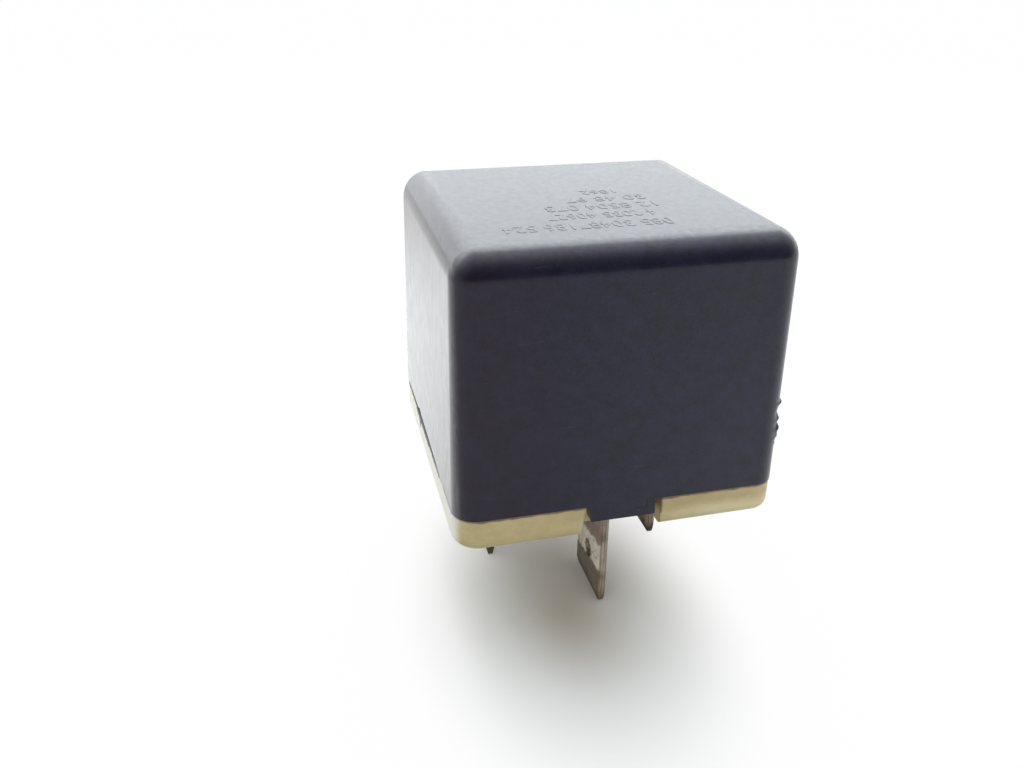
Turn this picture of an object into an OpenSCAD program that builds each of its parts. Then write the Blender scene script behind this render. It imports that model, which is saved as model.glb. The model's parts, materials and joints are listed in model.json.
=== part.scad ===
// Changeover relay for cars: a square moulded cover clipped over a base with five blade
// terminals. Inside, a coil on an iron core pulls a hinged armature, whose leaf spring
// carries a contact from the upper fixed contact to the lower one.
// The blade tips lie on z = 0, the front (the cover's tab) faces -Y, and x = y = 0 is the
// middle of the cover. The pose drawn is the one without current.

/* [Cover] */
// Width and depth of the cover and the base at the seam
cover_w = 28; // [27.6:0.1:29]
// Height of the cover above the seam
cover_h = 22.1; // [21.8:0.1:24]
// Thickness of the side walls
cover_wall = 1.2; // [1:0.1:1.3]
// Thickness of the top
cover_top_t = 1.4; // [1:0.1:1.5]
// How far each side leans in between the seam and the top
cover_draft = 0.23; // [0.1:0.01:0.4]
// Radius of the upright corners
corner_r = 2.3; // [1.8:0.1:2.8]
// Radius round the top
top_edge_r = 2.5; // [1.8:0.1:2.8]
// Width of the tab that hangs from the front wall
tab_w = 5.2; // [4:0.1:5.6]
// Distance of the tab's middle from the middle of the front wall
tab_x = 0.3; // [-0.2:0.1:0.5]
// How far the tab hangs below the seam
tab_drop = 1.5; // [0.8:0.1:2]

/* [Base] */
// Height of the part of the base that shows below the seam
skirt_h = 2.5; // [2:0.1:3]
// Height of the part of the base inside the cover
step_h = 2.2; // [2:0.1:2.4]
// Radius round the lower edge
skirt_edge_r = 0.7; // [0.4:0.1:1]
// Gap between the tab and the left end of the notch that takes it
notch_left = 0.85; // [0.3:0.05:1.2]
// Gap between the tab and the right end of the notch
notch_right = 0.55; // [0.3:0.05:1.2]
// Room behind the tab in the notch
notch_room = 0.8; // [0.3:0.1:1]
// Length of the snap ridge on each side
snap_l = 6; // [4:0.5:8]

/* [Blades] */
// Width of a blade
blade_w = 6.3; // [5.8:0.1:6.4]
// Thickness of a blade and of all the terminal strip
blade_t = 0.8; // [0.6:0.05:0.85]
// Length of a blade below the base
blade_l = 10.7; // [9:0.1:12]
// Thickness left at the bevelled tip
blade_tip_t = 0.35; // [0.2:0.05:0.5]
// Height of the bevel at the tip
blade_bevel = 0.8; // [0.5:0.1:1.2]
// Cut across each corner of the tip
blade_chamfer = 0.9; // [0.5:0.1:1.4]
// Diameter of the latching hole
blade_hole_d = 1.8; // [1.2:0.1:2.2]
// Height of the latching hole's centre above the tip
blade_hole_z = 3.9; // [3.4:0.1:4.6]
// Distance between the two coil blades
coil_pitch = 16.8; // [16.4:0.1:17.4]
// Place of the coil blades from the middle, towards the back
coil_blade_y = 1.75; // [1:0.05:2.2]
// Place of the common blade
common_blade_y = -7.25; // [-7.4:0.05:-7]
// Place of the blade in the centre, for the closed contact
closed_blade_y = 2.55; // [2.4:0.05:2.8]
// Place of the blade at the back, for the open contact
open_blade_y = 10.55; // [10.3:0.05:10.8]

/* [Magnet] */
// Thickness of the yoke
yoke_t = 1.5; // [1.2:0.1:1.6]
// Width of the yoke
yoke_w = 10; // [9:0.2:11]
// Place of the yoke's outer face
yoke_y = -10.2; // [-10.5:0.1:-10]
// How far the yoke's foot stops short of the armature's end
foot_short = 0.2; // [0:0.1:1.6]
// Place of the coil's axis
coil_y = -1.5; // [-1.7:0.1:-1.3]
// Diameter of the core
core_d = 5.5; // [5:0.1:6]
// Diameter of the pole at the core's upper end
pole_d = 8; // [7:0.1:9]
// Thickness of the pole
pole_t = 1; // [0.8:0.1:1.2]
// Height of the winding
winding_h = 8; // [7.6:0.1:8.4]
// Outer diameter of the winding
winding_d = 11.8; // [10:0.1:12]
// Side of the bobbin's square flanges
flange_w = 13.2; // [12.4:0.1:13.6]
// Thickness of the bobbin's flanges
flange_t = 1; // [0.8:0.1:1.1]
// Wall of the bobbin's tube
tube_wall = 0.8; // [0.6:0.1:1]
// Diameter of the winding's wire where it leaves the coil
wire_d = 0.3; // [0.2:0.05:0.4]

/* [Armature] */
// Thickness of the armature
armature_t = 1.4; // [1.2:0.1:1.5]
// Width of the armature over the pole
armature_w = 12; // [11:0.2:13]
// Length of the armature from its hinge
armature_l = 14.8; // [14:0.1:15.4]
// Angle that the armature turns through
armature_swing = 2.5; // [2:0.1:3]
// Thickness of the leaf spring
spring_t = 0.25; // [0.2:0.05:0.3]
// Width of the leaf spring on the yoke
spring_w = 7; // [6:0.2:7.6]
// Inner radius of the spring's bend
spring_r = 1.3; // [1:0.1:1.35]

/* [Contacts] */
// Distance of the moving contact from the hinge
contact_reach = 18.2; // [17.8:0.1:18.4]
// Diameter of the contacts
contact_d = 3.5; // [3:0.1:3.8]
// Thickness of a contact's head
contact_t = 0.8; // [0.6:0.1:0.9]
// Radius of the fixed contacts' domes
dome_r = 10; // [8:0.5:14]
// Diameter of the shanks of the contacts
shank_d = 1.8; // [1.4:0.1:2]
// Width of the strip that carries the closed contact
closed_strip_w = 4; // [3.4:0.1:4.2]

/* [Resistor] */
// Diameter of the resistor
resistor_d = 2.4; // [2:0.1:2.6]
// Length of the resistor
resistor_l = 6.6; // [5.6:0.2:7.4]
// Diameter of its leads
lead_d = 0.6; // [0.5:0.05:0.7]

/* [Hidden] */
$fn = 64;

slot_gap = 0.05;        // round each blade in the base
fit_gap = 0.02;         // between a shank and its hole, and between parts that seat
cover_gap = 0.1;        // between the cover's wall and the base
sheet_gap = 0.03;       // between the spring and what it lies on
touch_gap = 0.03;       // between contacts that meet
pole_gap = 0.05;        // between the pole and the closed armature
hole_gap = 0.15;        // round the strip in the base's channel

// Heights
base_z = blade_l;
seam_z = base_z + skirt_h;
deck_z = seam_z + step_h;
cover_z = seam_z + cover_h;
foot_z = deck_z + yoke_t;
coil_z = foot_z + flange_t;
pole_z = coil_z + winding_h + flange_t;
yoke_z = pole_z + pole_t + pole_gap;
roof_z = cover_z - cover_top_t;

// Cover
inner_w = cover_w - 2 * cover_wall;
inner_r = corner_r - cover_wall;
roof_r = top_edge_r - cover_wall;
land_h = 0.5;           // upright band round the cover above the seam
snap_t = 0.3;           // how far a snap ridge stands out
snap_h = 0.9;           // height of a snap ridge

// Magnet
yoke_foot = armature_l - foot_short;
yoke_bend = 0.5;        // inner radius of the yoke's bend

// Terminal strips
bend_in = 0.4;          // inner radius of a bend in the strip
bend_out = bend_in + blade_t;
channel_z = seam_z + 0.4;       // floor of the channel for the closed strip
guide_h = 1.2;          // shoulder of the coil blades above the deck
tag_w = 3.4;            // width of the solder tags
tag_h = 5.2;            // height of the solder tags above the deck
tag_z = deck_z + tag_h;
tenon_w = 2.4;          // width of the tenon that is staked into the yoke
tenon_shift = 1.05;     // from the blade's middle to the tenon's
tenon_y = common_blade_y + tenon_shift;
aisle = 1.4;            // air between the strips of different contacts

// Armature
hinge = [0, yoke_y, yoke_z];
hinge_gap = 0.03;       // below the closed armature
neck_w = yoke_w;        // width of the armature at its hinge
neck_l = 3;             // length of that neck
armature_r = 1;         // radius of its corners
armature_top = hinge_gap + armature_t;
leaf_low = armature_top + sheet_gap;
leaf_high = leaf_low + spring_t;
bend_y = yoke_y - sheet_gap + spring_r;
bend_z = yoke_z + (leaf_low - spring_r + (spring_r - sheet_gap) * sin(armature_swing))
    / cos(armature_swing);
leaf_foot_h = 3.4;      // lower end of the spring above the deck
leaf_foot_z = deck_z + leaf_foot_h;
bend_steps = 16;        // flats round the spring's bend
leaf_neck_w = 4.6;      // width of the spring beside the contact
taper_l = 2;            // where the spring narrows, before the armature's end
neck_room = 0.6;        // and past it
rivet_d = 1.6;
rivet_head_d = 2.8;
rivet_head_t = 0.45;
armature_rivet_x = 2.4;
armature_rivet_y = 4.2; // from the hinge
yoke_rivet_x = 1.9;
yoke_rivet_h = 1.9;     // from the spring's lower end
yoke_rivet_z = leaf_foot_z + yoke_rivet_h;

// Contacts
contact_y = yoke_y + contact_reach;
lower_top = yoke_z + leaf_low - contact_t - touch_gap;
lower_strip_z = lower_top - contact_t - blade_t;
button_t = contact_t - 0.1;
// Height of the moving contact's upper face over the fixed contact's axis, at rest
rest_face_z = yoke_z + (leaf_high + button_t) / cos(armature_swing)
    + contact_reach * tan(armature_swing);
upper_low = rest_face_z + (dome_r + touch_gap) / cos(armature_swing) - dome_r;
upper_strip_z = upper_low + contact_t;
strip_back_y = open_blade_y + blade_t / 2;
strip_rim = 0.35;       // strip left in front of a contact
arm_rim = 0.6;          // strip left beside a contact
peen_t = 0.3;           // height of the peened end of a contact's shank
peen_d = shank_d + 0.8;
strip_end_y = contact_y - contact_d / 2 - strip_rim;
riser_x = blade_w / 2 + aisle + closed_strip_w / 2;
closed_edge_y = closed_blade_y - blade_t / 2;
run_y = strip_back_y - blade_t - aisle;
turn_y = coil_blade_y + blade_w / 2 + aisle;

// Coil
flange_r = 1.5;
bore_d = core_d + 2 * slot_gap;
tube_d = bore_d + 2 * tube_wall;
core_step = 0.75;       // shoulder of the core on the yoke
tenon_d = core_d - 2 * core_step;
tag_x = coil_pitch / 2 - blade_t / 2;
tail_rise = 0.45;       // of the winding's tails above the lower flange
tail_z = coil_z + tail_rise;
wrap_turns = 3;
resistor_room = 1.2;    // between the bobbin and the resistor
resistor_y = coil_y + flange_w / 2 + resistor_d / 2 + resistor_room;
resistor_drop = 0.9;    // from the tops of the tags
resistor_z = tag_z - resistor_drop;
lead_x = tag_x - lead_d / 2 - slot_gap;
lead_r = 1.2;

// A rectangle with round corners, centred
module round_plan(w, d, r) {
    square([w - 2 * r, d], center = true);
    square([w, d - 2 * r], center = true);
    for (x = [-1, 1], y = [-1, 1])
        translate([x * (w / 2 - r), y * (d / 2 - r)]) circle(r);
}

// Four-sided block that leans in by the draft and is round at the top
module tapered_block(w, low, high, side_r, edge_r) {
    top_w = w - 2 * cover_draft - 2 * edge_r;
    hull() {
        translate([0, 0, low]) linear_extrude(land_h) round_plan(w, w, side_r);
        translate([-top_w / 2, -top_w / 2, high - edge_r]) cube([top_w, top_w, edge_r]);
        for (x = [-1, 1], y = [-1, 1])
            translate([x * top_w / 2, y * top_w / 2, high - edge_r]) sphere(edge_r, $fn = 48);
    }
}

// Strip bent once through a right angle, in section: the outer corner is at the origin,
// one leg runs along +x and the other along +y
module bent_section(leg_x, leg_y, t, r_in) {
    r = r_in + t;
    translate([r, 0]) square([leg_x - r, t]);
    translate([0, r]) square([t, leg_y - r]);
    intersection() {
        translate([r, r]) difference() {
            circle(r);
            circle(r_in);
        }
        square([r, r]);
    }
}

// Section in the Y-Z plane made into a strip that is centred across X
module across_x(w) {
    translate([-w / 2, 0, 0]) rotate([90, 0, 90]) linear_extrude(w) children();
}

// Blade that stands on its tip, broad side towards Y, up to the height given
module blade(height) {
    difference() {
        intersection() {
            translate([0, blade_t / 2, 0]) rotate([90, 0, 0]) linear_extrude(blade_t) polygon([
                [-blade_w / 2 + blade_chamfer, 0], [blade_w / 2 - blade_chamfer, 0],
                [blade_w / 2, blade_chamfer], [blade_w / 2, height],
                [-blade_w / 2, height], [-blade_w / 2, blade_chamfer]]);
            across_x(blade_w) polygon([
                [-blade_tip_t / 2, 0], [blade_tip_t / 2, 0], [blade_t / 2, blade_bevel],
                [blade_t / 2, height], [-blade_t / 2, height], [-blade_t / 2, blade_bevel]]);
        }
        translate([0, 0, blade_hole_z]) rotate([90, 0, 0])
            cylinder(d = blade_hole_d, h = 2 * blade_t, center = true);
    }
}

// Places of the blades that stand across the others, broad side towards X
module at_common() {
    translate([0, common_blade_y, 0]) rotate([0, 0, 90]) children();
}
module at_coil_blade(side) {
    translate([side * coil_pitch / 2, coil_blade_y, 0]) rotate([0, 0, 90]) children();
}

// Slot for a blade through the base
module blade_slot() {
    translate([-blade_w / 2 - slot_gap, -blade_t / 2 - slot_gap, 0])
        cube([blade_w + 2 * slot_gap, blade_t + 2 * slot_gap, cover_z]);
}

// Plan of the strip that leads the centre blade round to its riser, between two places
// along Y, with room left beside it
module closed_run(start_y, stop_y, room) {
    left_x = -blade_w / 2 - room;
    right_x = riser_x + closed_strip_w / 2 + room;
    translate([left_x, start_y]) square([blade_w + 2 * room, run_y + room - start_y]);
    translate([left_x, turn_y - room]) square([right_x - left_x, run_y - turn_y + 2 * room]);
    translate([riser_x - closed_strip_w / 2 - room, turn_y - room])
        square([closed_strip_w + 2 * room, stop_y + room - turn_y]);
}

// The outside of the skirt: the lower edge is round, also at the corners
module skirt() {
    straight = cover_w / 2 - corner_r;
    hull() {
        translate([0, 0, base_z + skirt_edge_r]) linear_extrude(skirt_h - skirt_edge_r)
            round_plan(cover_w, cover_w, corner_r);
        for (x = [-1, 1], y = [-1, 1])
            translate([x * straight, y * straight, base_z + skirt_edge_r]) rotate_extrude()
                translate([corner_r - skirt_edge_r, 0]) circle(skirt_edge_r, $fn = 24);
    }
}

module cover() color([0.22, 0.22, 0.27]) difference() {
    union() {
        tapered_block(cover_w, seam_z, cover_z, corner_r, top_edge_r);
        translate([tab_x - tab_w / 2, -cover_w / 2, seam_z - tab_drop])
            cube([tab_w, cover_wall, tab_drop + land_h / 2]);
    }
    tapered_block(inner_w, seam_z - land_h, roof_z, inner_r, roof_r);
    // pockets for the snap ridges
    for (side = [-1, 1])
        translate([side * inner_w / 2, 0, seam_z + step_h / 2])
            cube([2 * (snap_t + cover_gap), snap_l + 2 * cover_gap, snap_h + 2 * cover_gap], center = true);
}

module base() color([0.82, 0.78, 0.62]) {
    step_w = inner_w - 2 * cover_gap;
    rib_t = 0.9;
    rib_l = 8;
    difference() {
        union() {
            skirt();
            translate([0, 0, seam_z]) linear_extrude(step_h) round_plan(step_w, step_w, inner_r);
            for (side = [-1, 1]) {
                // snap ridge that holds the cover
                translate([side * step_w / 2, snap_l / 2, seam_z + step_h / 2])
                    rotate([90, 0, 0]) linear_extrude(snap_l) polygon([
                        [-side * snap_t, -snap_h / 2], [side * (cover_gap + snap_t), -snap_h / 2],
                        [side * (cover_gap + snap_t), 0], [-side * snap_t, snap_h / 2]]);
                // rib beside the yoke's foot
                translate([side * (yoke_w / 2 + slot_gap + rib_t / 2), coil_y, deck_z])
                    cube([rib_t, rib_l, yoke_t], center = true);
            }
        }
        // notch for the cover's tab
        translate([tab_x - tab_w / 2 - notch_left, -cover_w, base_z - skirt_h])
            cube([notch_left + tab_w + notch_right, cover_w / 2 + cover_wall + notch_room, 3 * skirt_h]);
        at_common() blade_slot();
        for (side = [-1, 1]) at_coil_blade(side) blade_slot();
        translate([0, open_blade_y, 0]) blade_slot();
        translate([0, closed_blade_y, 0]) blade_slot();
        // channel for the strip to the closed contact, and relief for its first bend
        translate([0, 0, channel_z - fit_gap]) linear_extrude(step_h)
            closed_run(closed_edge_y - hole_gap, strip_back_y + hole_gap, hole_gap);
        translate([-blade_w / 2 - slot_gap, closed_blade_y, channel_z - bend_in - slot_gap])
            cube([blade_w + 2 * slot_gap, blade_t / 2 + bend_in + slot_gap, blade_t]);
    }
}

module terminal_30() color([0.72, 0.66, 0.58]) {
    shoulder_z = deck_z - fit_gap;
    at_common() blade(shoulder_z);
    // tenon staked flush into the yoke's foot
    translate([-blade_t / 2, tenon_y - tenon_w / 2, shoulder_z - fit_gap])
        cube([blade_t, tenon_w, yoke_t + 2 * fit_gap]);
}

// Coil terminal: a blade with a narrower solder tag above its shoulder
module coil_terminal(side) color([0.72, 0.66, 0.58]) {
    at_coil_blade(side) {
        blade(deck_z + guide_h);
        translate([-tag_w / 2, -blade_t / 2, deck_z + guide_h / 2])
            cube([tag_w, blade_t, tag_z - deck_z - guide_h / 2]);
    }
}
module terminal_85() coil_terminal(1);
module terminal_86() coil_terminal(-1);

module terminal_87() color([0.72, 0.66, 0.58]) {
    bend_low = lower_strip_z + blade_t - bend_out;
    difference() {
        union() {
            translate([0, open_blade_y, 0]) blade(bend_low);
            // the strip bends forward to carry the lower contact
            translate([0, strip_back_y, lower_strip_z + blade_t]) mirror([0, 1, 0]) mirror([0, 0, 1])
                across_x(blade_w) bent_section(strip_back_y - strip_end_y, 2 * bend_out, blade_t, bend_in);
        }
        translate([0, contact_y, lower_strip_z - blade_t])
            cylinder(d = shank_d + 2 * fit_gap, h = 3 * blade_t);
        // room for the peened end below the strip
        translate([0, contact_y, lower_strip_z - 2 * peen_t])
            cylinder(d = peen_d + 2 * fit_gap, h = 2 * peen_t - fit_gap / 2);
    }
}

module terminal_87a() color([0.72, 0.66, 0.58]) {
    arm_x = contact_d / 2 + arm_rim;
    blade_top = channel_z + blade_t - bend_out;
    riser_h = upper_strip_z + blade_t - channel_z;
    difference() {
        union() {
            translate([0, closed_blade_y, 0]) blade(blade_top);
            // bend into the channel
            translate([0, closed_edge_y, channel_z + blade_t]) mirror([0, 0, 1])
                across_x(blade_w) bent_section(bend_out + blade_t, 2 * bend_out, blade_t, bend_in);
            translate([0, 0, channel_z]) linear_extrude(blade_t)
                closed_run(closed_edge_y + bend_out, strip_back_y - bend_out, 0);
            // riser beside the open contact's strip
            translate([riser_x, strip_back_y, channel_z]) mirror([0, 1, 0])
                across_x(closed_strip_w)
                bent_section(bend_out + blade_t, riser_h / 2 + blade_t, blade_t, bend_in);
            translate([riser_x, strip_back_y, upper_strip_z + blade_t]) mirror([0, 1, 0])
                mirror([0, 0, 1]) across_x(closed_strip_w)
                bent_section(strip_back_y - strip_end_y, riser_h / 2, blade_t, bend_in);
            // arm over the contacts
            translate([-arm_x, strip_end_y, upper_strip_z])
                cube([arm_x + riser_x, strip_back_y - bend_out - strip_end_y, blade_t]);
        }
        translate([0, contact_y, upper_strip_z - blade_t])
            cylinder(d = shank_d + 2 * fit_gap, h = 3 * blade_t);
    }
}

module yoke() color([0.62, 0.62, 0.6]) {
    difference() {
        translate([0, yoke_y, deck_z]) across_x(yoke_w)
            bent_section(yoke_foot, yoke_z - deck_z, yoke_t, yoke_bend);
        translate([0, coil_y, deck_z - yoke_t]) cylinder(d = tenon_d + 2 * fit_gap, h = 3 * yoke_t);
        translate([-blade_t / 2 - fit_gap, tenon_y - tenon_w / 2 - fit_gap, deck_z - yoke_t])
            cube([blade_t + 2 * fit_gap, tenon_w + 2 * fit_gap, 3 * yoke_t]);
        for (side = [-1, 1])
            translate([side * yoke_rivet_x, yoke_y, yoke_rivet_z]) rotate([90, 0, 0])
                cylinder(d = rivet_d + 2 * fit_gap, h = 4 * yoke_t, center = true);
    }
}

module core() color([0.66, 0.66, 0.64]) translate([0, coil_y, 0]) {
    translate([0, 0, deck_z + fit_gap]) cylinder(d = tenon_d, h = yoke_t);
    translate([0, 0, foot_z + fit_gap]) cylinder(d = core_d, h = pole_z - foot_z);
    translate([0, 0, pole_z + fit_gap]) cylinder(d = pole_d, h = pole_t - fit_gap);
}

module bobbin() color([0.85, 0.84, 0.8]) translate([0, coil_y, foot_z + fit_gap]) difference() {
    union() {
        for (z = [0, winding_h + flange_t])
            translate([0, 0, z]) linear_extrude(flange_t - fit_gap) round_plan(flange_w, flange_w, flange_r);
        cylinder(d = tube_d, h = winding_h + flange_t + fit_gap);
    }
    translate([0, 0, -flange_t]) cylinder(d = bore_d, h = winding_h + 4 * flange_t);
}

module winding() color([0.62, 0.3, 0.14]) {
    tail_y = coil_blade_y;
    wrap_h = wrap_turns * wire_d;
    translate([0, coil_y, coil_z + fit_gap]) difference() {
        cylinder(d = winding_d, h = winding_h - 2 * fit_gap);
        translate([0, 0, -1]) cylinder(d = tube_d + 2 * fit_gap, h = winding_h + 2);
    }
    for (side = [-1, 1]) {
        // tail from the coil to its tag
        translate([side * tube_d / 2, tail_y, tail_z]) rotate([0, side * 90, 0])
            cylinder(d = wire_d, h = tag_x - tube_d / 2 - wire_d / 2 - slot_gap, $fn = 24);
        // turns round the tag
        translate([side * coil_pitch / 2, tail_y, tail_z - wrap_h / 2]) difference() {
            translate([-blade_t / 2 - wire_d - slot_gap, -tag_w / 2 - wire_d - slot_gap, 0])
                cube([blade_t + 2 * (wire_d + slot_gap), tag_w + 2 * (wire_d + slot_gap), wrap_h]);
            translate([-blade_t / 2 - slot_gap, -tag_w / 2 - slot_gap, -wrap_h])
                cube([blade_t + 2 * slot_gap, tag_w + 2 * slot_gap, 3 * wrap_h]);
        }
    }
}

// Puts what belongs to the armature at its hinge, turned to the rest pose. Here y runs
// along the armature and z = 0 is the top of the yoke when the armature is pulled in.
module at_hinge() {
    translate(hinge) rotate([armature_swing, 0, 0]) children();
}

module armature() color([0.6, 0.6, 0.58]) at_hinge() difference() {
    intersection() {
        translate([0, 0, hinge_gap]) linear_extrude(armature_t) {
            translate([-neck_w / 2, 0]) square([neck_w, neck_l + 1]);
            translate([0, (neck_l + armature_l) / 2])
                round_plan(armature_w, armature_l - neck_l, armature_r);
        }
        // the hinge end is round where the spring bends over it
        across_x(2 * armature_w) union() {
            translate([spring_r, 0]) square([armature_l, armature_top]);
            translate([spring_r, armature_top - spring_r]) circle(spring_r);
            square([armature_l, armature_top - spring_r]);
        }
    }
    for (side = [-1, 1])
        translate([side * armature_rivet_x, armature_rivet_y, -armature_t])
            cylinder(d = rivet_d + 2 * fit_gap, h = 3 * armature_t);
}

// One face of the spring in the Y-Z plane, at the radius given from the bend's centre: up
// the yoke, round the bend and along the armature to the tip
function leaf_line(r) = concat([[bend_y - r, leaf_foot_z]],
    [for (i = [0:bend_steps]) leaf_bend(r, i * (90 - armature_swing) / bend_steps)],
    [leaf_bend(r, 90 - armature_swing) + 2 * contact_reach * [cos(armature_swing), sin(armature_swing)]]);
function leaf_bend(r, turn) = [bend_y - r * cos(turn), bend_z + r * sin(turn)];
function backwards(line) = [for (i = [1:len(line)]) line[len(line) - i]];

// Outline of the spring seen along the hinge's own height: narrower towards the contact
module leaf_plan() {
    waist_y = armature_l - taper_l;
    neck_y = armature_l + neck_room;
    polygon([
        [-spring_w / 2, -2 * spring_r], [spring_w / 2, -2 * spring_r],
        [spring_w / 2, waist_y], [leaf_neck_w / 2, neck_y],
        [leaf_neck_w / 2, contact_reach], [-leaf_neck_w / 2, contact_reach],
        [-leaf_neck_w / 2, neck_y], [-spring_w / 2, waist_y]]);
    translate([0, contact_reach]) circle(d = leaf_neck_w);
}

module leaf_spring() color([0.8, 0.62, 0.36]) difference() {
    intersection() {
        across_x(2 * spring_w)
            polygon(concat(leaf_line(spring_r + spring_t), backwards(leaf_line(spring_r))));
        at_hinge() translate([0, 0, -cover_h]) linear_extrude(2 * cover_h) leaf_plan();
    }
    at_hinge() {
        translate([0, contact_reach, leaf_low - 1]) cylinder(d = shank_d + 2 * fit_gap, h = 3);
        for (side = [-1, 1])
            translate([side * armature_rivet_x, armature_rivet_y, leaf_low - 1])
                cylinder(d = rivet_d + 2 * fit_gap, h = 3);
    }
    for (side = [-1, 1])
        translate([side * yoke_rivet_x, yoke_y, yoke_rivet_z]) rotate([90, 0, 0])
            cylinder(d = rivet_d + 2 * fit_gap, h = 2);
}

// Rivet whose shank goes down from z = 0, with its head above
module rivet(shank_l) {
    translate([0, 0, -shank_l]) cylinder(d = rivet_d, h = shank_l + rivet_head_t / 2);
    cylinder(d = rivet_head_d, h = rivet_head_t);
}

module armature_rivets() color([0.75, 0.74, 0.7]) at_hinge() {
    for (side = [-1, 1])
        translate([side * armature_rivet_x, armature_rivet_y, leaf_high + fit_gap])
            rivet(spring_t + sheet_gap + armature_t);
}

module yoke_rivets() color([0.75, 0.74, 0.7]) {
    for (side = [-1, 1])
        translate([side * yoke_rivet_x, yoke_y - sheet_gap - spring_t - fit_gap, yoke_rivet_z])
            rotate([90, 0, 0]) rivet(spring_t + sheet_gap + yoke_t);
}

module moving_contact() color([0.86, 0.86, 0.84]) at_hinge() translate([0, contact_reach, 0]) {
    translate([0, 0, leaf_low - contact_t]) cylinder(d = contact_d, h = contact_t - fit_gap);
    translate([0, 0, leaf_low - contact_t / 2]) cylinder(d = shank_d, h = contact_t + spring_t);
    translate([0, 0, leaf_high + fit_gap]) cylinder(d = contact_d, h = button_t - fit_gap);
}

// Fixed contact: a domed head that looks up, its shank riveted through the strip
module fixed_contact() {
    intersection() {
        translate([0, 0, fit_gap]) cylinder(d = contact_d, h = contact_t);
        translate([0, 0, contact_t - dome_r]) sphere(dome_r, $fn = 240);
    }
    translate([0, 0, -blade_t - fit_gap]) cylinder(d = shank_d, h = blade_t + contact_t / 2);
    translate([0, 0, -blade_t - fit_gap - peen_t]) cylinder(d = peen_d, h = peen_t);
}

module lower_contact() color([0.86, 0.86, 0.84])
    translate([0, contact_y, lower_strip_z + blade_t]) fixed_contact();

module upper_contact() color([0.86, 0.86, 0.84])
    translate([0, contact_y, upper_strip_z]) mirror([0, 0, 1]) fixed_contact();

module resistor() color([0.24, 0.34, 0.52]) {
    cap_l = 1.3;
    cap_t = 0.1;
    cap_d = resistor_d + 2 * cap_t;
    translate([0, resistor_y, resistor_z]) rotate([0, 90, 0]) {
        cylinder(d = resistor_d, h = resistor_l, center = true);
        for (side = [-1, 1])
            translate([0, 0, side * (resistor_l - cap_l) / 2])
                cylinder(d = cap_d, h = cap_l, center = true);
    }
}

module resistor_leads() color([0.78, 0.77, 0.74]) {
    start_x = resistor_l / 2 + fit_gap;
    end_y = coil_blade_y - tag_w / 2 + lead_d / 2;
    for (side = [0, 1]) mirror([side, 0, 0]) {
        translate([start_x, resistor_y, resistor_z]) rotate([0, 90, 0])
            cylinder(d = lead_d, h = lead_x - lead_r - start_x, $fn = 32);
        translate([lead_x - lead_r, resistor_y - lead_r, resistor_z])
            rotate_extrude(angle = 90) translate([lead_r, 0]) circle(d = lead_d, $fn = 32);
        translate([lead_x, end_y, resistor_z]) rotate([-90, 0, 0])
            cylinder(d = lead_d, h = resistor_y - lead_r - end_y, $fn = 32);
    }
}

cover();
base();
terminal_30();
terminal_85();
terminal_86();
terminal_87();
terminal_87a();
yoke();
core();
bobbin();
winding();
armature();
leaf_spring();
armature_rivets();
yoke_rivets();
moving_contact();
lower_contact();
upper_contact();
resistor();
resistor_leads();
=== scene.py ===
"""Car relay: a dark moulded cover over a cream base with five blade terminals, and inside it
the coil, the hinged armature with its leaf spring, and the contacts."""

import json
import math

import bmesh
import bpy
from mathutils import Matrix, Vector, noise


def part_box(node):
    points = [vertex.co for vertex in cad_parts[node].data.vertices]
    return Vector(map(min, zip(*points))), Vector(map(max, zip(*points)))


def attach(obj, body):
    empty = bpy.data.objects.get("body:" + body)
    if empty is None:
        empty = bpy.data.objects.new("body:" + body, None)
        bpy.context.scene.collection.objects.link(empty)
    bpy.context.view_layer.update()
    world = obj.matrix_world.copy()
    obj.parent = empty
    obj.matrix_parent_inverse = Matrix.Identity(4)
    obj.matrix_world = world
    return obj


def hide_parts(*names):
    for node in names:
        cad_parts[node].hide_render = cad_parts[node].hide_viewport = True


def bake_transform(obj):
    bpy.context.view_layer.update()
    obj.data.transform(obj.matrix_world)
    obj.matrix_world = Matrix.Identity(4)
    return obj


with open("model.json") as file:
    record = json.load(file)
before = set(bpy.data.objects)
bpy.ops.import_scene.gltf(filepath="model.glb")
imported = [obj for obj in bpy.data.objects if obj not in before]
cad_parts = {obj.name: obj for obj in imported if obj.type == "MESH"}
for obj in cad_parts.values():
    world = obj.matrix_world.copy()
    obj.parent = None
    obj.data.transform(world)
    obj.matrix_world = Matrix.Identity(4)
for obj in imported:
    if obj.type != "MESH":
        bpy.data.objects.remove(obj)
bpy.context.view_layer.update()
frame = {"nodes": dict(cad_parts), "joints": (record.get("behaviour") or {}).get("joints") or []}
MM = 0.001

# ---- Base ----------------------------------------------------------------------------
# A thick block of cream, glass-filled plastic. Its skirt shows below the cover and is round
# along the lower edge; its step stands inside the cover's wall. Each blade has its slot, and
# a notch at the front takes the cover's tab.


def bare_object(name, mesh):
    """Object for a mesh that already lies in its place."""
    piece = bpy.data.objects.new(name, mesh)
    bpy.context.scene.collection.objects.link(piece)
    return piece


def piece_from(bm, name, sharp=35):
    """Object made of a finished bmesh: smooth, but for edges sharper than the angle."""
    mesh = bpy.data.meshes.new(name)
    bm.to_mesh(mesh)
    bm.free()
    mesh.shade_smooth()
    mesh.set_sharp_from_angle(angle=math.radians(sharp))
    return bare_object(name, mesh)


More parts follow.
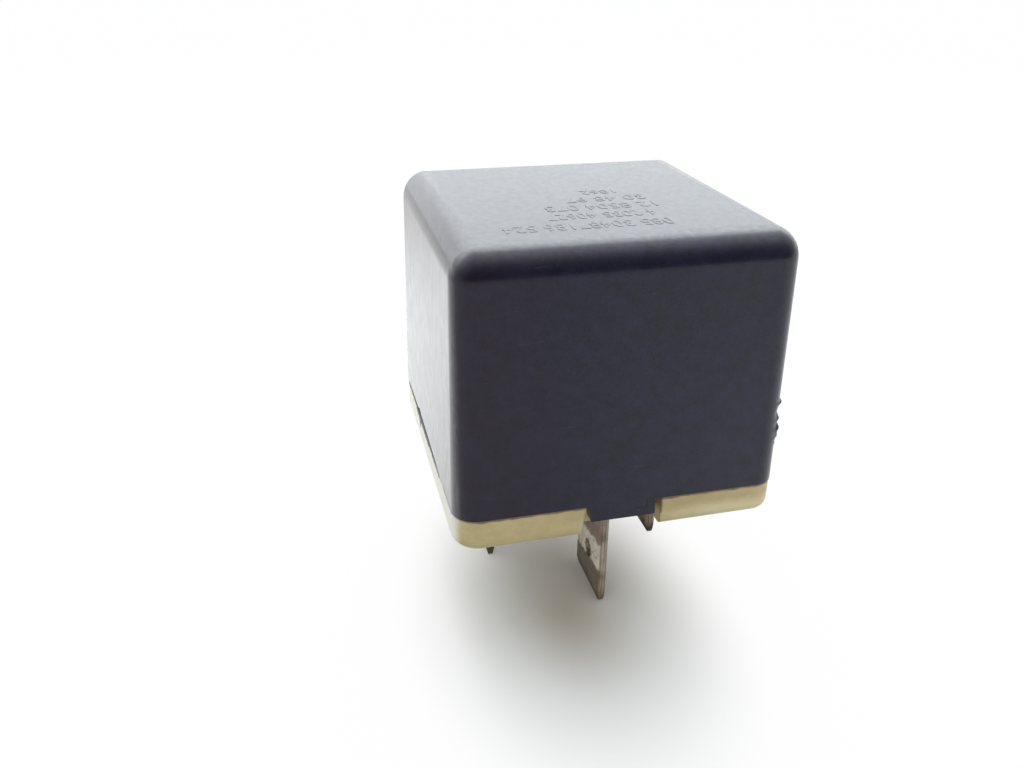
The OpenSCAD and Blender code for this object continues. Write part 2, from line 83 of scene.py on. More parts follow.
def soften_edges(piece, width):
    """Rounds the edges that the tool left sharp, and keeps the flat faces flat."""
    rounding = piece.modifiers.new("edge_rounding", "BEVEL")
    rounding.width = width
    rounding.segments = 2
    rounding.limit_method = "ANGLE"
    rounding.angle_limit = math.radians(40)
    flat = piece.modifiers.new("flat_faces", "WEIGHTED_NORMAL")
    flat.keep_sharp = False


class Number:
    """A number that varies over a surface; working on it adds Math nodes."""

    def __init__(self, finish, socket):
        self.finish = finish
        self.socket = socket

    def math(self, operation, first, second):
        return self.finish.node("ShaderNodeMath", {"operation": operation}, {0: first, 1: second})

    def __add__(self, other):
        return self.math("ADD", self, other)

    def __sub__(self, other):
        return self.math("SUBTRACT", self, other)

    def __rsub__(self, other):
        return self.math("SUBTRACT", other, self)

    def __mul__(self, other):
        return self.math("MULTIPLY", self, other)

    __radd__ = __add__
    __rmul__ = __mul__


class Finish:
    """A material in the making. Patterns lie on the piece's own coordinates, in metres."""

    def __init__(self, name, fixed):
        self.material = bpy.data.materials.new(name)
        self.material.use_nodes = True
        self.tree = self.material.node_tree
        self.shader = self.tree.nodes["Principled BSDF"]
        for socket, value in fixed.items():
            self.shader.inputs[socket].default_value = value
        self.place = self.node("ShaderNodeTexCoord", {}, {}, "Object")

    def node(self, kind, settings, inputs, output=0):
        """Adds a node: its settings first, then the values or links of its sockets."""
        made = self.tree.nodes.new(kind)
        for name, value in settings.items():
            setattr(made, name, value)
        for socket, value in inputs.items():
            self.feed(made.inputs[socket], value)
        return Number(self, made.outputs[output])

    def feed(self, socket, value):
        if isinstance(value, Number):
            self.tree.links.new(value.socket, socket)
        else:
            socket.default_value = value

    def axes(self):
        """The three coordinates as numbers."""
        split = self.node("ShaderNodeSeparateXYZ", {}, {0: self.place})
        outputs = split.socket.node.outputs
        return [Number(self, outputs[i]) for i in range(3)]

    def grain(self, size, detail=3.0, stretch=(1, 1, 1), shift=0.0, rough=0.55):
        """Noise from 0 to 1 whose spots are about that size, stretched along an axis."""
        scale = tuple(1 / (size * s) for s in stretch)
        spot = self.node(
            "ShaderNodeMapping", {}, {"Vector": self.place, "Scale": scale, "Location": (shift,) * 3}
        )
        sockets = {"Vector": spot, "Scale": 1.0, "Detail": detail, "Roughness": rough}
        return self.node("ShaderNodeTexNoise", {}, sockets)

    def ramp(self, value, low, high):
        """0 below low, 1 above high, smooth between; falling where low is the larger."""
        sockets = {"Value": value, "From Min": low, "From Max": high}
        return self.node("ShaderNodeMapRange", {"interpolation_type": "SMOOTHSTEP"}, sockets)

    def within(self, value, low, high, edge):
        """1 between low and high, fading to 0 over the edge."""
        rise = self.ramp(value, low - edge, low + edge)
        return rise * self.ramp(value, high + edge, high - edge)

    def blend(self, share, first, second):
        """The first colour where share is 0, and the second where it is 1."""
        return self.node("ShaderNodeMix", {"data_type": "RGBA"}, {0: share, 6: first, 7: second}, 2)

    def bump(self, height, depth, before=None):
        """Relief of that depth in metres where height goes from 0 to 1."""
        sockets = {"Height": height, "Distance": depth, "Strength": 1.0}
        if before is not None:
            sockets["Normal"] = before
        return self.node("ShaderNodeBump", {}, sockets)

    def finish(self, **surface):
        """Feeds the shader and returns the material."""
        for name, value in surface.items():
            self.feed(self.shader.inputs[name.replace("_", " ").title()], value)
        return self.material


base_low, base_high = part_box("base")
cover_low, cover_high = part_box("cover")
skirt_height = 2.5 * MM
seam_z = base_low.z + skirt_height
side = base_high.x
base_corner = 2.3 * MM
skirt_round = 0.62 * MM
step_height = 2.2 * MM
step_inset = 1.3 * MM
slot_room = 0.05 * MM
hang = 0.30 * MM
hang_tilt = 0.10 * MM
notch_wear = 0.35 * MM
blade_thickness = 0.8 * MM
blade_width = 6.3 * MM
notch = (-3.15 * MM, 3.45 * MM, -2 * side, -12.0 * MM)

common_low, common_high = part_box("terminal_30")
coil_low, coil_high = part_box("terminal_85")
open_low, open_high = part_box("terminal_87")
closed_low, closed_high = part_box("terminal_87a")
common_y = common_low.y + blade_width / 2
coil_x = (coil_low.x + coil_high.x) / 2
coil_y = coil_low.y + blade_width / 2
open_y = open_high.y - blade_thickness / 2
closed_y = closed_low.y + blade_thickness / 2


def slot_round(x, y, across):
    """Limits in plan of the slot for a blade that stands across or along the front."""
    half_x, half_y = blade_width / 2, blade_thickness / 2
    if across:
        half_x, half_y = half_y, half_x
    return (
        x - half_x - slot_room, x + half_x + slot_room,
        y - half_y - slot_room, y + half_y + slot_room,
    )


openings = [
    notch,
    slot_round(0, common_y, True),
    slot_round(coil_x, coil_y, True),
    slot_round(-coil_x, coil_y, True),
    slot_round(0, open_y, False),
    slot_round(0, closed_y, False),
]


def cut_plan(bm, normal, places):
    """Cuts every face along planes square to the normal."""
    for place in places:
        if abs(place) < side:
            bmesh.ops.bisect_plane(
                bm,
                geom=bm.verts[:] + bm.edges[:] + bm.faces[:],
                plane_co=Vector(normal) * place,
                plane_no=normal,
            )


def drag(bm, faces, way):
    """Extrudes faces along a vector and returns the new ones; the old stay as the other end."""
    new = bmesh.ops.extrude_face_region(bm, geom=faces)["geom"]
    verts = [v for v in new if isinstance(v, bmesh.types.BMVert)]
    bmesh.ops.translate(bm, vec=way, verts=verts)
    return [f for f in new if isinstance(f, bmesh.types.BMFace)]


def rounded_sheet(radius):
    """Square sheet at the seam, as wide as the relay, with rounded corners."""
    bm = bmesh.new()
    bmesh.ops.create_grid(bm, x_segments=1, y_segments=1, size=side)
    bmesh.ops.translate(bm, vec=(0, 0, seam_z), verts=bm.verts)
    bmesh.ops.bevel(
        bm, geom=bm.verts[:], affect="VERTICES", offset=radius, segments=8, profile=0.5, material=-1
    )
    return bm


STEP = 1
block = rounded_sheet(base_corner)
bmesh.ops.inset_region(
    block, faces=block.faces[:], thickness=step_inset, use_boundary=True, use_even_offset=True
)
middle = min(block.faces, key=lambda f: f.calc_center_median().xy.length)
middle.material_index = STEP
cut_plan(block, (1, 0, 0), sorted({x for opening in openings for x in opening[:2]}))
cut_plan(block, (0, 1, 0), sorted({y for opening in openings for y in opening[2:]}))
holes = []
for face in block.faces:
    centre = face.calc_center_median()
    if any(o[0] < centre.x < o[1] and o[2] < centre.y < o[3] for o in openings):
        holes.append(face)
bmesh.ops.delete(block, geom=holes, context="FACES")
drag(block, block.faces[:], (0, 0, -skirt_height))
bmesh.ops.recalc_face_normals(block, faces=block.faces)
step_faces = [f for f in block.faces if f.material_index == STEP and f.normal.z > 0.5]
drag(block, step_faces, (0, 0, step_height))
bmesh.ops.delete(block, geom=step_faces, context="FACES")
bmesh.ops.recalc_face_normals(block, faces=block.faces)
rim = []
for edge in block.edges:
    low_edge = all(abs(v.co.z - base_low.z) < 1e-6 for v in edge.verts)
    outer = all(max(abs(v.co.x), abs(v.co.y)) > side - step_inset + 1e-5 for v in edge.verts)
    if low_edge and outer and edge.calc_face_angle(0) > 1:
        rim.append(edge)
bmesh.ops.bevel(
    block, geom=rim, affect="EDGES", offset=skirt_round, segments=5, profile=0.5, material=-1
)
# the block hangs a little lower on its left side
for vert in block.verts:
    if vert.co.z < base_low.z + 1.2 * skirt_round:
        vert.co.z -= hang - hang_tilt * vert.co.x / side
# the notch's left-hand edge is worn back, more towards its foot
for vert in block.verts:
    low_share = (seam_z - vert.co.z) / skirt_height
    if vert.co.y < -12.5 * MM and abs(vert.co.x - notch[0]) < 0.7 * MM and low_share > 0:
        vert.co.x -= notch_wear * low_share


def fill_corner(bm, x_way, y_way, radius, share):
    """Draws a rounded upright corner of the skirt towards the sharp corner."""
    for vert in bm.verts:
        x, y = vert.co.x * x_way, vert.co.y * y_way
        if vert.co.z < seam_z + 1e-6 and min(x, y) > side - radius - 1e-6:
            outer = math.hypot(x - side + radius, y - side + radius) / radius
            pull = share * min(max(2 * outer - 1, 0), 1)
            vert.co.x += pull * (side * x_way - vert.co.x)
            vert.co.y += pull * (side * y_way - vert.co.y)


fill_corner(block, 1, -1, base_corner, 0.12)
fill_corner(block, -1, 1, base_corner, 0.35)
for face in block.faces:
    face.material_index = 0
base_block = piece_from(block, "base_block", 40)
soften_edges(base_block, 0.12 * MM)

cream = Finish("cream_plastic", {"IOR": 1.5, "Subsurface Weight": 0.08})
cream.shader.inputs["Subsurface Radius"].default_value = (0.0012, 0.0009, 0.0005)
cream.shader.inputs["Subsurface Scale"].default_value = 1.0
x, y, z = cream.axes()
cloud = cream.grain(4 * MM)
speck = cream.grain(0.35 * MM, 2.0)
# grain for the ragged edges of the dirt and of the painted shade below
dirt_and_shade_grain = cream.grain(0.9 * MM, 4.0, (1, 1, 0.5), 4.0)
colour = cream.blend(cloud, (0.45, 0.355, 0.17, 1), (0.575, 0.47, 0.25, 1))
blotch = cream.ramp(cream.grain(0.8 * MM, 4.0, (1, 1, 0.7), 9.0), 0.40, 0.62)
colour = cream.blend(blotch * 0.25, colour, (0.36, 0.285, 0.125, 1))
below_cover = cream.ramp(z, seam_z + 0.7 * MM, seam_z + 0.3 * MM)
# painted shade along the seam in the middle, under the cover, and painted light along the foot on the
# right
painted_seam_shade = cream.ramp(z + cloud * MM, base_low.z + 1.2 * MM, base_low.z + 2.4 * MM) * below_cover
painted_seam_shade = painted_seam_shade * cream.within(x, -6 * MM, 8 * MM, 4 * MM)
colour = cream.blend(painted_seam_shade * 0.4, colour, (0.33, 0.25, 0.12, 1))
painted_foot_light = cream.ramp(z + cloud * MM, base_low.z + 2.2 * MM, base_low.z + 1.0 * MM)
painted_foot_light = painted_foot_light * cream.ramp(x, 2 * MM, 9 * MM)
colour = cream.blend(painted_foot_light * 0.6, colour, (0.80, 0.70, 0.45, 1))
olive = cream.ramp(z + cloud * 0.8 * MM, base_low.z + 1.3 * MM, base_low.z + 0.2 * MM)
colour = cream.blend(olive * 0.55, colour, (0.34, 0.31, 0.15, 1))
# painted light: the base's left side is made paler, as where the light from the left falls on it
painted_left_light = cream.ramp(x, -13.35 * MM, -13.95 * MM)
colour = cream.blend(painted_left_light * 0.8, colour, (0.80, 0.79, 0.73, 1))
seam_line = cream.ramp(z + dirt_and_shade_grain * 0.34 * MM, seam_z - 0.10 * MM, seam_z + 0.08 * MM) * below_cover
edge_line = cream.within(x, notch[1] - 0.02 * MM, notch[1] + 0.12 * MM, 0.07 * MM)
edge_line = edge_line * cream.ramp(y, -13.6 * MM, -13.9 * MM) * cream.ramp(dirt_and_shade_grain, 0.35, 0.55)
# painted shade: the notch's left wall and the back wall beside it are darkened brown, as the recess lies
# in shade
stain_and_notch_shade = cream.within(x, notch[0] - 0.06 * MM, notch[0] + 0.5 * MM, 0.05 * MM)
stain_and_notch_shade = stain_and_notch_shade * cream.ramp(z - dirt_and_shade_grain * 2.5 * MM, base_low.z - 0.8 * MM, base_low.z + 0.6 * MM)
stain_and_notch_shade = stain_and_notch_shade * cream.ramp(y, -11.5 * MM, -12.2 * MM)
colour = cream.blend(edge_line * 0.8 + stain_and_notch_shade * 0.85, colour, (0.11, 0.06, 0.035, 1))
colour = cream.blend(seam_line * 0.85, colour, (0.10, 0.065, 0.035, 1))
# painted shade in the gap under the left rim: the base is painted near black there, wide in its middle
# and widest at one nick
depth = 0.14 * MM + dirt_and_shade_grain * 0.12 * MM + cream.ramp(speck, 0.42, 0.62) * 0.20 * MM
depth = depth + cream.within(y, -6.4 * MM, 7.2 * MM, 0.4 * MM) * 0.10 * MM
depth = depth + cream.within(y, -0.4 * MM, 7.0 * MM, 0.4 * MM) * 0.20 * MM
depth = depth + cream.within(y, 4.45 * MM, 5.15 * MM, 0.15 * MM) * 0.65 * MM
gap = cream.within(y, -6.4 * MM, 13.6 * MM, 0.3 * MM) * cream.ramp(x, -12.4 * MM, -12.6 * MM)
gap = gap * cream.ramp(z + depth, seam_z - 0.04 * MM, seam_z + 0.04 * MM) * below_cover
colour = cream.blend(gap, colour, (0.010, 0.008, 0.008, 1))
dirt = cream.ramp(dirt_and_shade_grain, 0.66, 0.80) * 0.35 + cream.ramp(speck, 0.70, 0.78) * 0.3
dirt = dirt * (1 - gap)
colour = cream.blend(dirt, colour, (0.30, 0.24, 0.13, 1))
relief = cream.bump(cream.grain(0.12 * MM, 2.0), 0.006 * MM)
relief = cream.bump(cloud, 0.05 * MM, relief)
rough = 0.42 + cream.grain(1.2 * MM) * 0.16 + dirt * 0.2
plastic = cream.finish(base_color=colour, roughness=rough, normal=relief)
base_block.data.materials.append(plastic)
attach(base_block, "housing")
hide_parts("base")

# ---- Blade terminals -----------------------------------------------------------------
# Five terminals stamped from tinned strip and pressed through the base. The long edges of
# the three straight blades are coined, each tip is bevelled, and a latching hole goes through
# each blade; the tin has worn and browned.


def face_towards(bm, direction, near):
    """The face that looks that way and lies nearest to a point."""
    ways = [f for f in bm.faces if f.normal.dot(Vector(direction)) > 0.9]
    return min(ways, key=lambda f: (f.calc_center_median() - Vector(near)).length)


def push(bm, face, amount):
    """Extrudes a face along its own normal and returns the face at the new end."""
    end = drag(bm, [face], face.normal * amount)[0]
    bmesh.ops.delete(bm, geom=[face], context="FACES_ONLY")
    bm.normal_update()
    return end


def bend(bm, face, centre, angle):
    """Sweeps a face round an axis along X, as the strip is bent, and returns the end face."""
    new = bmesh.ops.spin(
        bm, geom=[face], cent=centre, axis=(1, 0, 0), angle=math.radians(angle),
        steps=bend_steps, use_duplicate=False,
    )["geom_last"]
    bmesh.ops.delete(bm, geom=[face], context="FACES_ONLY")
    end = next(f for f in new if isinstance(f, bmesh.types.BMFace))
    bm.normal_update()
    return end


bend_steps = 6
blade_edge = 0.035 * MM
tip_bevel = 0.8 * MM
tip_corner = 0.32 * MM
tip_half = 0.18 * MM
coin = 0.17 * MM
hole_radius = 0.9 * MM
hole_height = 3.9 * MM
hole_sides = 28


def blade_shape(top, coined=True):
    """Blade on its tip at the origin, broad side towards Y, up to the height given."""
    bm = bmesh.new()
    bmesh.ops.create_grid(bm, x_segments=1, y_segments=1, size=0.5)
    bmesh.ops.scale(bm, vec=(blade_width, top, 1), verts=bm.verts)
    bmesh.ops.translate(bm, vec=(0, top / 2, 0), verts=bm.verts)
    corners = [v for v in bm.verts if v.co.y < top / 2]
    bmesh.ops.bevel(
        bm, geom=corners, affect="VERTICES", offset=tip_corner, segments=2, profile=0.35, material=-1
    )
    # the latching hole: its ring is bridged to the outline
    outline = bm.edges[:]
    bmesh.ops.delete(bm, geom=bm.faces[:], context="FACES_ONLY")
    ring = bmesh.ops.create_circle(
        bm, cap_ends=False, radius=hole_radius, segments=hole_sides,
        matrix=Matrix.Translation((0, hole_height, 0)),
    )
    ring_edges = list(dict.fromkeys(e for v in ring["verts"] for e in v.link_edges))
    bmesh.ops.triangle_fill(bm, edges=outline + ring_edges, use_beauty=True)
    bmesh.ops.rotate(bm, cent=(0, 0, 0), matrix=Matrix.Rotation(math.pi / 2, 3, "X"), verts=bm.verts)
    bmesh.ops.recalc_face_normals(bm, faces=bm.faces)
    drag(bm, bm.faces[:], (0, blade_thickness, 0))
    bmesh.ops.translate(bm, vec=(0, -blade_thickness / 2, 0), verts=bm.verts)
    bmesh.ops.recalc_face_normals(bm, faces=bm.faces)
    # coined long edges
    long_edges = []
    for edge in bm.edges:
        upright = abs(edge.verts[0].co.x - edge.verts[1].co.x) < 1e-7
        outer = all(abs(v.co.x) > blade_width / 2 - 1e-6 for v in edge.verts)
        if coined and upright and outer and edge.calc_face_angle(0) > 1:
            if abs(edge.verts[0].co.z - edge.verts[1].co.z) > tip_corner:
                long_edges.append(edge)
    bmesh.ops.bevel(
        bm, geom=long_edges, affect="EDGES", offset=coin, segments=1, profile=0.5, material=-1
    )
    # bevelled tip
    cut = Vector((0, 0, tip_bevel))
    bmesh.ops.bisect_plane(
        bm, geom=bm.verts[:] + bm.edges[:] + bm.faces[:], plane_co=cut, plane_no=(0, 0, 1)
    )
    for vert in bm.verts:
        if vert.co.z < tip_bevel - 1e-7:
            share = 1 - vert.co.z / tip_bevel
            half = abs(vert.co.y)
            thin = min(half, tip_half)
            vert.co.y = math.copysign(half + (thin - half) * share, vert.co.y)
    bm.normal_update()
    return bm


def tin_finish(name, tarnish, painted_face_x=None):
    """Worn tin on brass: drawn along the blade, brown with oxide at the tip and below the base, and on
    the front blade's left face painted light and painted shade as well.
    """
    tin = Finish(name, {"IOR": 1.45, "Specular IOR Level": 0.6})
    x, y, z = tin.axes()
    strokes = tin.grain(0.13 * MM, 2.0, (1, 1, 60), 1.0)
    patches = tin.grain(1.5 * MM, 5.0, (1, 1, 1.4), 2.0)
    lines = tin.ramp(strokes, 0.36, 0.62)
    ends = tin.ramp(z, 2.2 * MM, 0) * 0.36 + tin.ramp(z, 6.0 * MM, 11 * MM) * 0.12
    oxide = tin.ramp(patches + ends + tarnish, 0.48, 0.86)
    colour = tin.blend(lines, (0.21, 0.16, 0.12, 1), (0.50, 0.44, 0.36, 1))
    colour = tin.blend(oxide * 0.9, colour, (0.10, 0.055, 0.032, 1))
    # bright above the base, where the cover has kept it
    kept = tin.ramp(z, 10.4 * MM, 12.4 * MM)
    clean = tin.blend(lines, (0.50, 0.48, 0.44, 1), (0.62, 0.60, 0.56, 1))
    colour = tin.blend(kept * 0.9, colour, clean)
    oxide = oxide * (1 - kept)
    shine = 0.80 - oxide * 0.5 + kept * 0.12
    rough = 0.32 + lines * 0.12 + oxide * 0.25
    if painted_face_x is not None:
        # the front blade's left face: painted shade on its upper part, a pale band across it that is
        # partly painted light and partly worn tin, and dull metal below
        ragged = tin.grain(0.8 * MM, 4.0, shift=7.0)
        face = tin.ramp(x, painted_face_x + 0.2 * MM, painted_face_x)
        dull = face * tin.ramp(z + ragged * 1.2 * MM, 4.6 * MM, 3.6 * MM)
        colour = tin.blend(dull * 0.8, colour, (0.135, 0.105, 0.078, 1))
        # painted shade: the face's upper part is darkened for the shade and dark reflection of the base
        # above it
        painted_shade_above = face * tin.ramp(z + ragged * 0.8 * MM, 6.0 * MM, 6.8 * MM)
        colour = tin.blend(painted_shade_above * 0.7, colour, (0.30, 0.215, 0.175, 1))
        # painted light: a pale band across the face for the light it catches there, on worn, bright tin
        slope = z + y * 0.13 + ragged * 1.3 * MM
        light_banded = face * tin.within(slope, 2.9 * MM, 5.6 * MM, 0.18 * MM)
        colour = tin.blend(light_banded * (0.30 + ragged * 1.0), colour, (0.78, 0.72, 0.63, 1))
        spots = tin.ramp(tin.grain(0.45 * MM, 4.0, shift=3.0), 0.58, 0.66) * light_banded
        colour = tin.blend(spots * 0.9, colour, (0.09, 0.06, 0.045, 1))
        tip = face * tin.ramp(z + ragged * 0.8 * MM, 1.9 * MM, 0.4 * MM)
        colour = tin.blend(tip * 0.7, colour, (0.085, 0.036, 0.024, 1))
        shine = shine - light_banded * 0.45 - dull * 0.15
        rough = rough + light_banded * 0.12
    relief = tin.bump(strokes, 0.012 * MM)
    relief = tin.bump(patches, 0.03 * MM, relief)
    return tin.finish(base_color=colour, metallic=shine, roughness=rough, normal=relief)


def stand(bm, x, y, turned):
    """Puts a blade shape in its slot."""
    if turned:
        quarter = Matrix.Rotation(math.pi / 2, 3, "Z")
        bmesh.ops.rotate(bm, cent=(0, 0, 0), matrix=quarter, verts=bm.verts)
    bmesh.ops.translate(bm, vec=(x, y, 0), verts=bm.verts)
    bm.normal_update()


def fit_blade(bm, name, node, tin):
    """Makes a finished blade shape the piece that stands for its terminal."""
    piece = piece_from(bm, name)
    soften_edges(piece, blade_edge)
    piece.data.materials.append(tin)
    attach(piece, "housing")
    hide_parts(node)


tinned = tin_finish("worn_tin", 0.0)
# painted shade: blade 86 stands in shade under the base, so its tin is made browner and darker
shade_darkened_tin = tin_finish("tin_darkened_for_shade", 0.22)
tag_width = 3.4 * MM
guide_height = 1.2 * MM
deck_z = seam_z + step_height

blade = blade_shape(deck_z)
tenon = face_towards(blade, (0, 0, 1), (0, 0, deck_z))
bmesh.ops.inset_region(blade, faces=[tenon], thickness=0.06 * MM, use_even_offset=True)
tenon = face_towards(blade, (0, 0, 1), (0, 0, deck_z))
bmesh.ops.scale(blade, vec=(0.39, 1, 1), verts=tenon.verts)
bmesh.ops.translate(blade, vec=(common_high.y - common_y - 2.1 * MM, 0, 0), verts=tenon.verts)
push(blade, tenon, common_high.z - deck_z)
stand(blade, 0, common_y, True)
light_banded = tin_finish("worn_tin_front_painted_light", 0.04, -blade_thickness / 2)
fit_blade(blade, "blade_30", "terminal_30", light_banded)

for name, node, x_place, tin in (
    ("blade_85", "terminal_85", coil_x, tinned), ("blade_86", "terminal_86", -coil_x, shade_darkened_tin)
):
    blade = blade_shape(deck_z + guide_height)
    shoulder = face_towards(blade, (0, 0, 1), (0, 0, deck_z))
    bmesh.ops.inset_region(blade, faces=[shoulder], thickness=0.03 * MM, use_even_offset=True)
    shoulder = face_towards(blade, (0, 0, 1), (0, 0, deck_z))
    bmesh.ops.scale(blade, vec=(tag_width / blade_width, 1, 1), verts=shoulder.verts)
    push(blade, shoulder, coil_high.z - deck_z - guide_height)
    stand(blade, x_place, coil_y, True)
    fit_blade(blade, name, node, tin)

inner_bend = 0.4 * MM
outer_bend = inner_bend + blade_thickness
strip_back = open_high.y

blade = blade_shape(open_high.z - outer_bend, False)
stand(blade, 0, open_y, False)
end = face_towards(blade, (0, 0, 1), (0, open_y, open_high.z))
centre = (0, strip_back - outer_bend, open_high.z - outer_bend)
end = bend(blade, end, centre, 90)
push(blade, end, strip_back - outer_bend - open_low.y)
fit_blade(blade, "blade_87", "terminal_87", tinned)

channel_z = seam_z + 0.4 * MM
riser_width = 4.0 * MM
riser_x = closed_high.x - riser_width / 2
turn_y = coil_high.y + 1.4 * MM
run_y = strip_back - blade_thickness - 1.4 * MM
arm_half = 2.35 * MM
arm_front = open_low.y

blade = blade_shape(channel_z + blade_thickness - outer_bend, False)
stand(blade, 0, closed_y, False)
end = face_towards(blade, (0, 0, 1), (0, closed_y, channel_z))
front = closed_y - blade_thickness / 2
end = bend(blade, end, (0, front + outer_bend, channel_z + blade_thickness - outer_bend), -90)
end = push(blade, end, turn_y - front - outer_bend)
end = push(blade, end, run_y - turn_y)
middle_y = (turn_y + run_y) / 2
cheek = face_towards(blade, (1, 0, 0), (blade_width / 2, middle_y, channel_z))
cheek = push(blade, cheek, riser_x - riser_width / 2 - blade_width / 2)
push(blade, cheek, riser_width)
foot = face_towards(blade, (0, 1, 0), (riser_x, run_y, channel_z))
foot = push(blade, foot, strip_back - outer_bend - run_y)
low_centre = (0, strip_back - outer_bend, channel_z + outer_bend)
foot = bend(blade, foot, low_centre, 90)
foot = push(blade, foot, closed_high.z - channel_z - 2 * outer_bend)
high_centre = (0, strip_back - outer_bend, closed_high.z - outer_bend)
foot = bend(blade, foot, high_centre, 90)
push(blade, foot, strip_back - outer_bend - arm_front)
arm_y = (strip_back - outer_bend + arm_front) / 2
arm = face_towards(blade, (-1, 0, 0), (riser_x - riser_width / 2, arm_y, closed_high.z))
push(blade, arm, riser_x - riser_width / 2 + arm_half)
fit_blade(blade, "blade_87a", "terminal_87a", tinned)

# ---- Yoke, core and armature ---------------------------------------------------------
# Soft iron with thin dull nickel: the yoke is bent from plate and staked to the base, the
# core is turned and stands in it, and the armature is a stamped plate that rocks on the
# yoke's upper edge.

iron = Finish("nickel_plated_iron", {})
drawn = iron.grain(0.06 * MM, 2.0, (1, 40, 40), 3.0)
bloom = iron.grain(2.5 * MM, 5.0)
colour = iron.blend(bloom, (0.50, 0.50, 0.48, 1), (0.66, 0.67, 0.68, 1))
tarnish = iron.ramp(iron.grain(1.1 * MM, 5.0, shift=9.0), 0.60, 0.80)
colour = iron.blend(tarnish * 0.5, colour, (0.42, 0.36, 0.24, 1))
relief = iron.bump(drawn, 0.004 * MM)
plated = iron.finish(
    base_color=colour, metallic=0.92, roughness=0.26 + bloom * 0.2 + drawn * 0.08, normal=relief
)


def dress_node(node, material, width):
    """Gives a CAD node its finish and, given a width, takes the sharpness off its edges."""
    part = frame["nodes"][node]
    part.data.materials.clear()
    part.data.materials.append(material)
    if width > 0:
        joined = part.modifiers.new("one_skin", "WELD")
        joined.merge_threshold = 1e-7
        soften_edges(part, width)


dress_node("yoke", plated, 0)
dress_node("core", plated, 0.08 * MM)
dress_node("armature", plated, 0.08 * MM)

# ---- Bobbin and winding --------------------------------------------------------------
# The bobbin is moulded in pale nylon over the core. Its winding is enamelled copper wire,
# laid turn beside turn, with a tail wound round and soldered to each coil terminal.

nylon = Finish("bobbin_nylon", {"IOR": 1.53, "Subsurface Weight": 0.1})
nylon.shader.inputs["Subsurface Radius"].default_value = (0.0012, 0.0011, 0.0009)
haze = nylon.grain(3 * MM)
colour = nylon.blend(haze, (0.70, 0.68, 0.61, 1), (0.80, 0.79, 0.74, 1))
pale = nylon.finish(
    base_color=colour, roughness=0.38 + haze * 0.14, normal=nylon.bump(nylon.grain(0.1 * MM), 0.005 * MM)
)
dress_node("bobbin", pale, 0.08 * MM)

bobbin_low, bobbin_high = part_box("bobbin")
winding_radius = 5.9 * MM
winding_inner = 3.6 * MM
flange = 1.0 * MM
wire_turns = 34
arc_steps = 4
winding_low = bobbin_low.z + flange + 0.02 * MM
winding_high = bobbin_high.z - flange - 0.02 * MM
core_y = (bobbin_low.y + bobbin_high.y) / 2
turn_pitch = (winding_high - winding_low) / wire_turns

coil = bmesh.new()
points = [(winding_inner, winding_low)]
for turn in range(wire_turns):
    for step in range(arc_steps):
        angle = math.pi * (step + 0.5) / arc_steps
        height = winding_low + turn_pitch * (turn + 0.5 - 0.5 * math.cos(angle))
        points.append((winding_radius - turn_pitch * (0.5 - 0.5 * math.sin(angle)), height))
points.append((winding_inner, winding_high))
verts = [coil.verts.new((radius, core_y, height)) for radius, height in points]
for first, second in zip(verts, verts[1:] + verts[:1]):
    coil.edges.new((first, second))
bmesh.ops.spin(
    coil, geom=coil.verts[:] + coil.edges[:], cent=(0, core_y, 0), axis=(0, 0, 1),
    angle=2 * math.pi, steps=72, use_merge=True, use_duplicate=False,
)
bmesh.ops.recalc_face_normals(coil, faces=coil.faces)
coil_wire = piece_from(coil, "coil_wire", 80)

enamel = Finish("enamelled_copper", {"Coat Weight": 0.6, "Coat Roughness": 0.12})
streak = enamel.grain(0.5 * MM, 3.0, (1, 1, 0.25))
colour = enamel.blend(streak, (0.42, 0.13, 0.035, 1), (0.66, 0.27, 0.085, 1))
copper = enamel.finish(
    base_color=colour, metallic=0.85, roughness=0.28 + streak * 0.12,
    normal=enamel.bump(enamel.grain(0.2 * MM), 0.004 * MM),
)
coil_wire.data.materials.append(copper)
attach(coil_wire, "housing")
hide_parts("winding")

wire_radius = 0.15 * MM
tail_z = winding_low + 0.45 * MM
wraps = 3
wrap_pitch = 2.2 * wire_radius
tail_start_x = 4.9 * MM
tail_approach = 1.2 * MM


def mesh_of(shape):
    """The mesh that a curve or a text makes."""
    guide = bpy.data.objects.new(shape.name, shape)
    mesh = bpy.data.meshes.new_from_object(guide)
    bpy.data.objects.remove(guide)
    return mesh


def closed_piece(mesh, name):
    """Object made of a mesh, with its seams closed."""
    skin = bmesh.new()
    skin.from_mesh(mesh)
    bmesh.ops.remove_doubles(skin, verts=skin.verts, dist=1e-7)
    return piece_from(skin, name)


def wire_along(name, points, radius):
    """Round wire through the points, as a mesh."""
    line = bpy.data.curves.new(name, "CURVE")
    line.dimensions = "3D"
    line.bevel_depth = radius
    line.bevel_resolution = 3
    line.use_fill_caps = True
    spline = line.splines.new("POLY")
    spline.points.add(len(points) - 1)
    for point, place in zip(spline.points, points):
        point.co = (*place, 1)
    return closed_piece(mesh_of(line), name)


for name, way in (("coil_tail_85", 1), ("coil_tail_86", -1)):
    reach_y = tag_width / 2 + wire_radius
    reach_x = blade_thickness / 2 + wire_radius
    route = [
        (way * tail_start_x, coil_y, tail_z), (way * (coil_x - tail_approach), coil_y, tail_z)
    ]
    corners = [(-1, -1), (1, -1), (1, 1), (-1, 1)]
    for step in range(4 * wraps + 1):
        side_x, side_y = corners[step % 4]
        height = tail_z + wrap_pitch * step / 4
        route.append((way * coil_x + way * side_x * reach_x, coil_y + side_y * reach_y, height))
    tail = wire_along(name, route, wire_radius)
    tail.data.materials.append(copper)
    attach(tail, "housing")

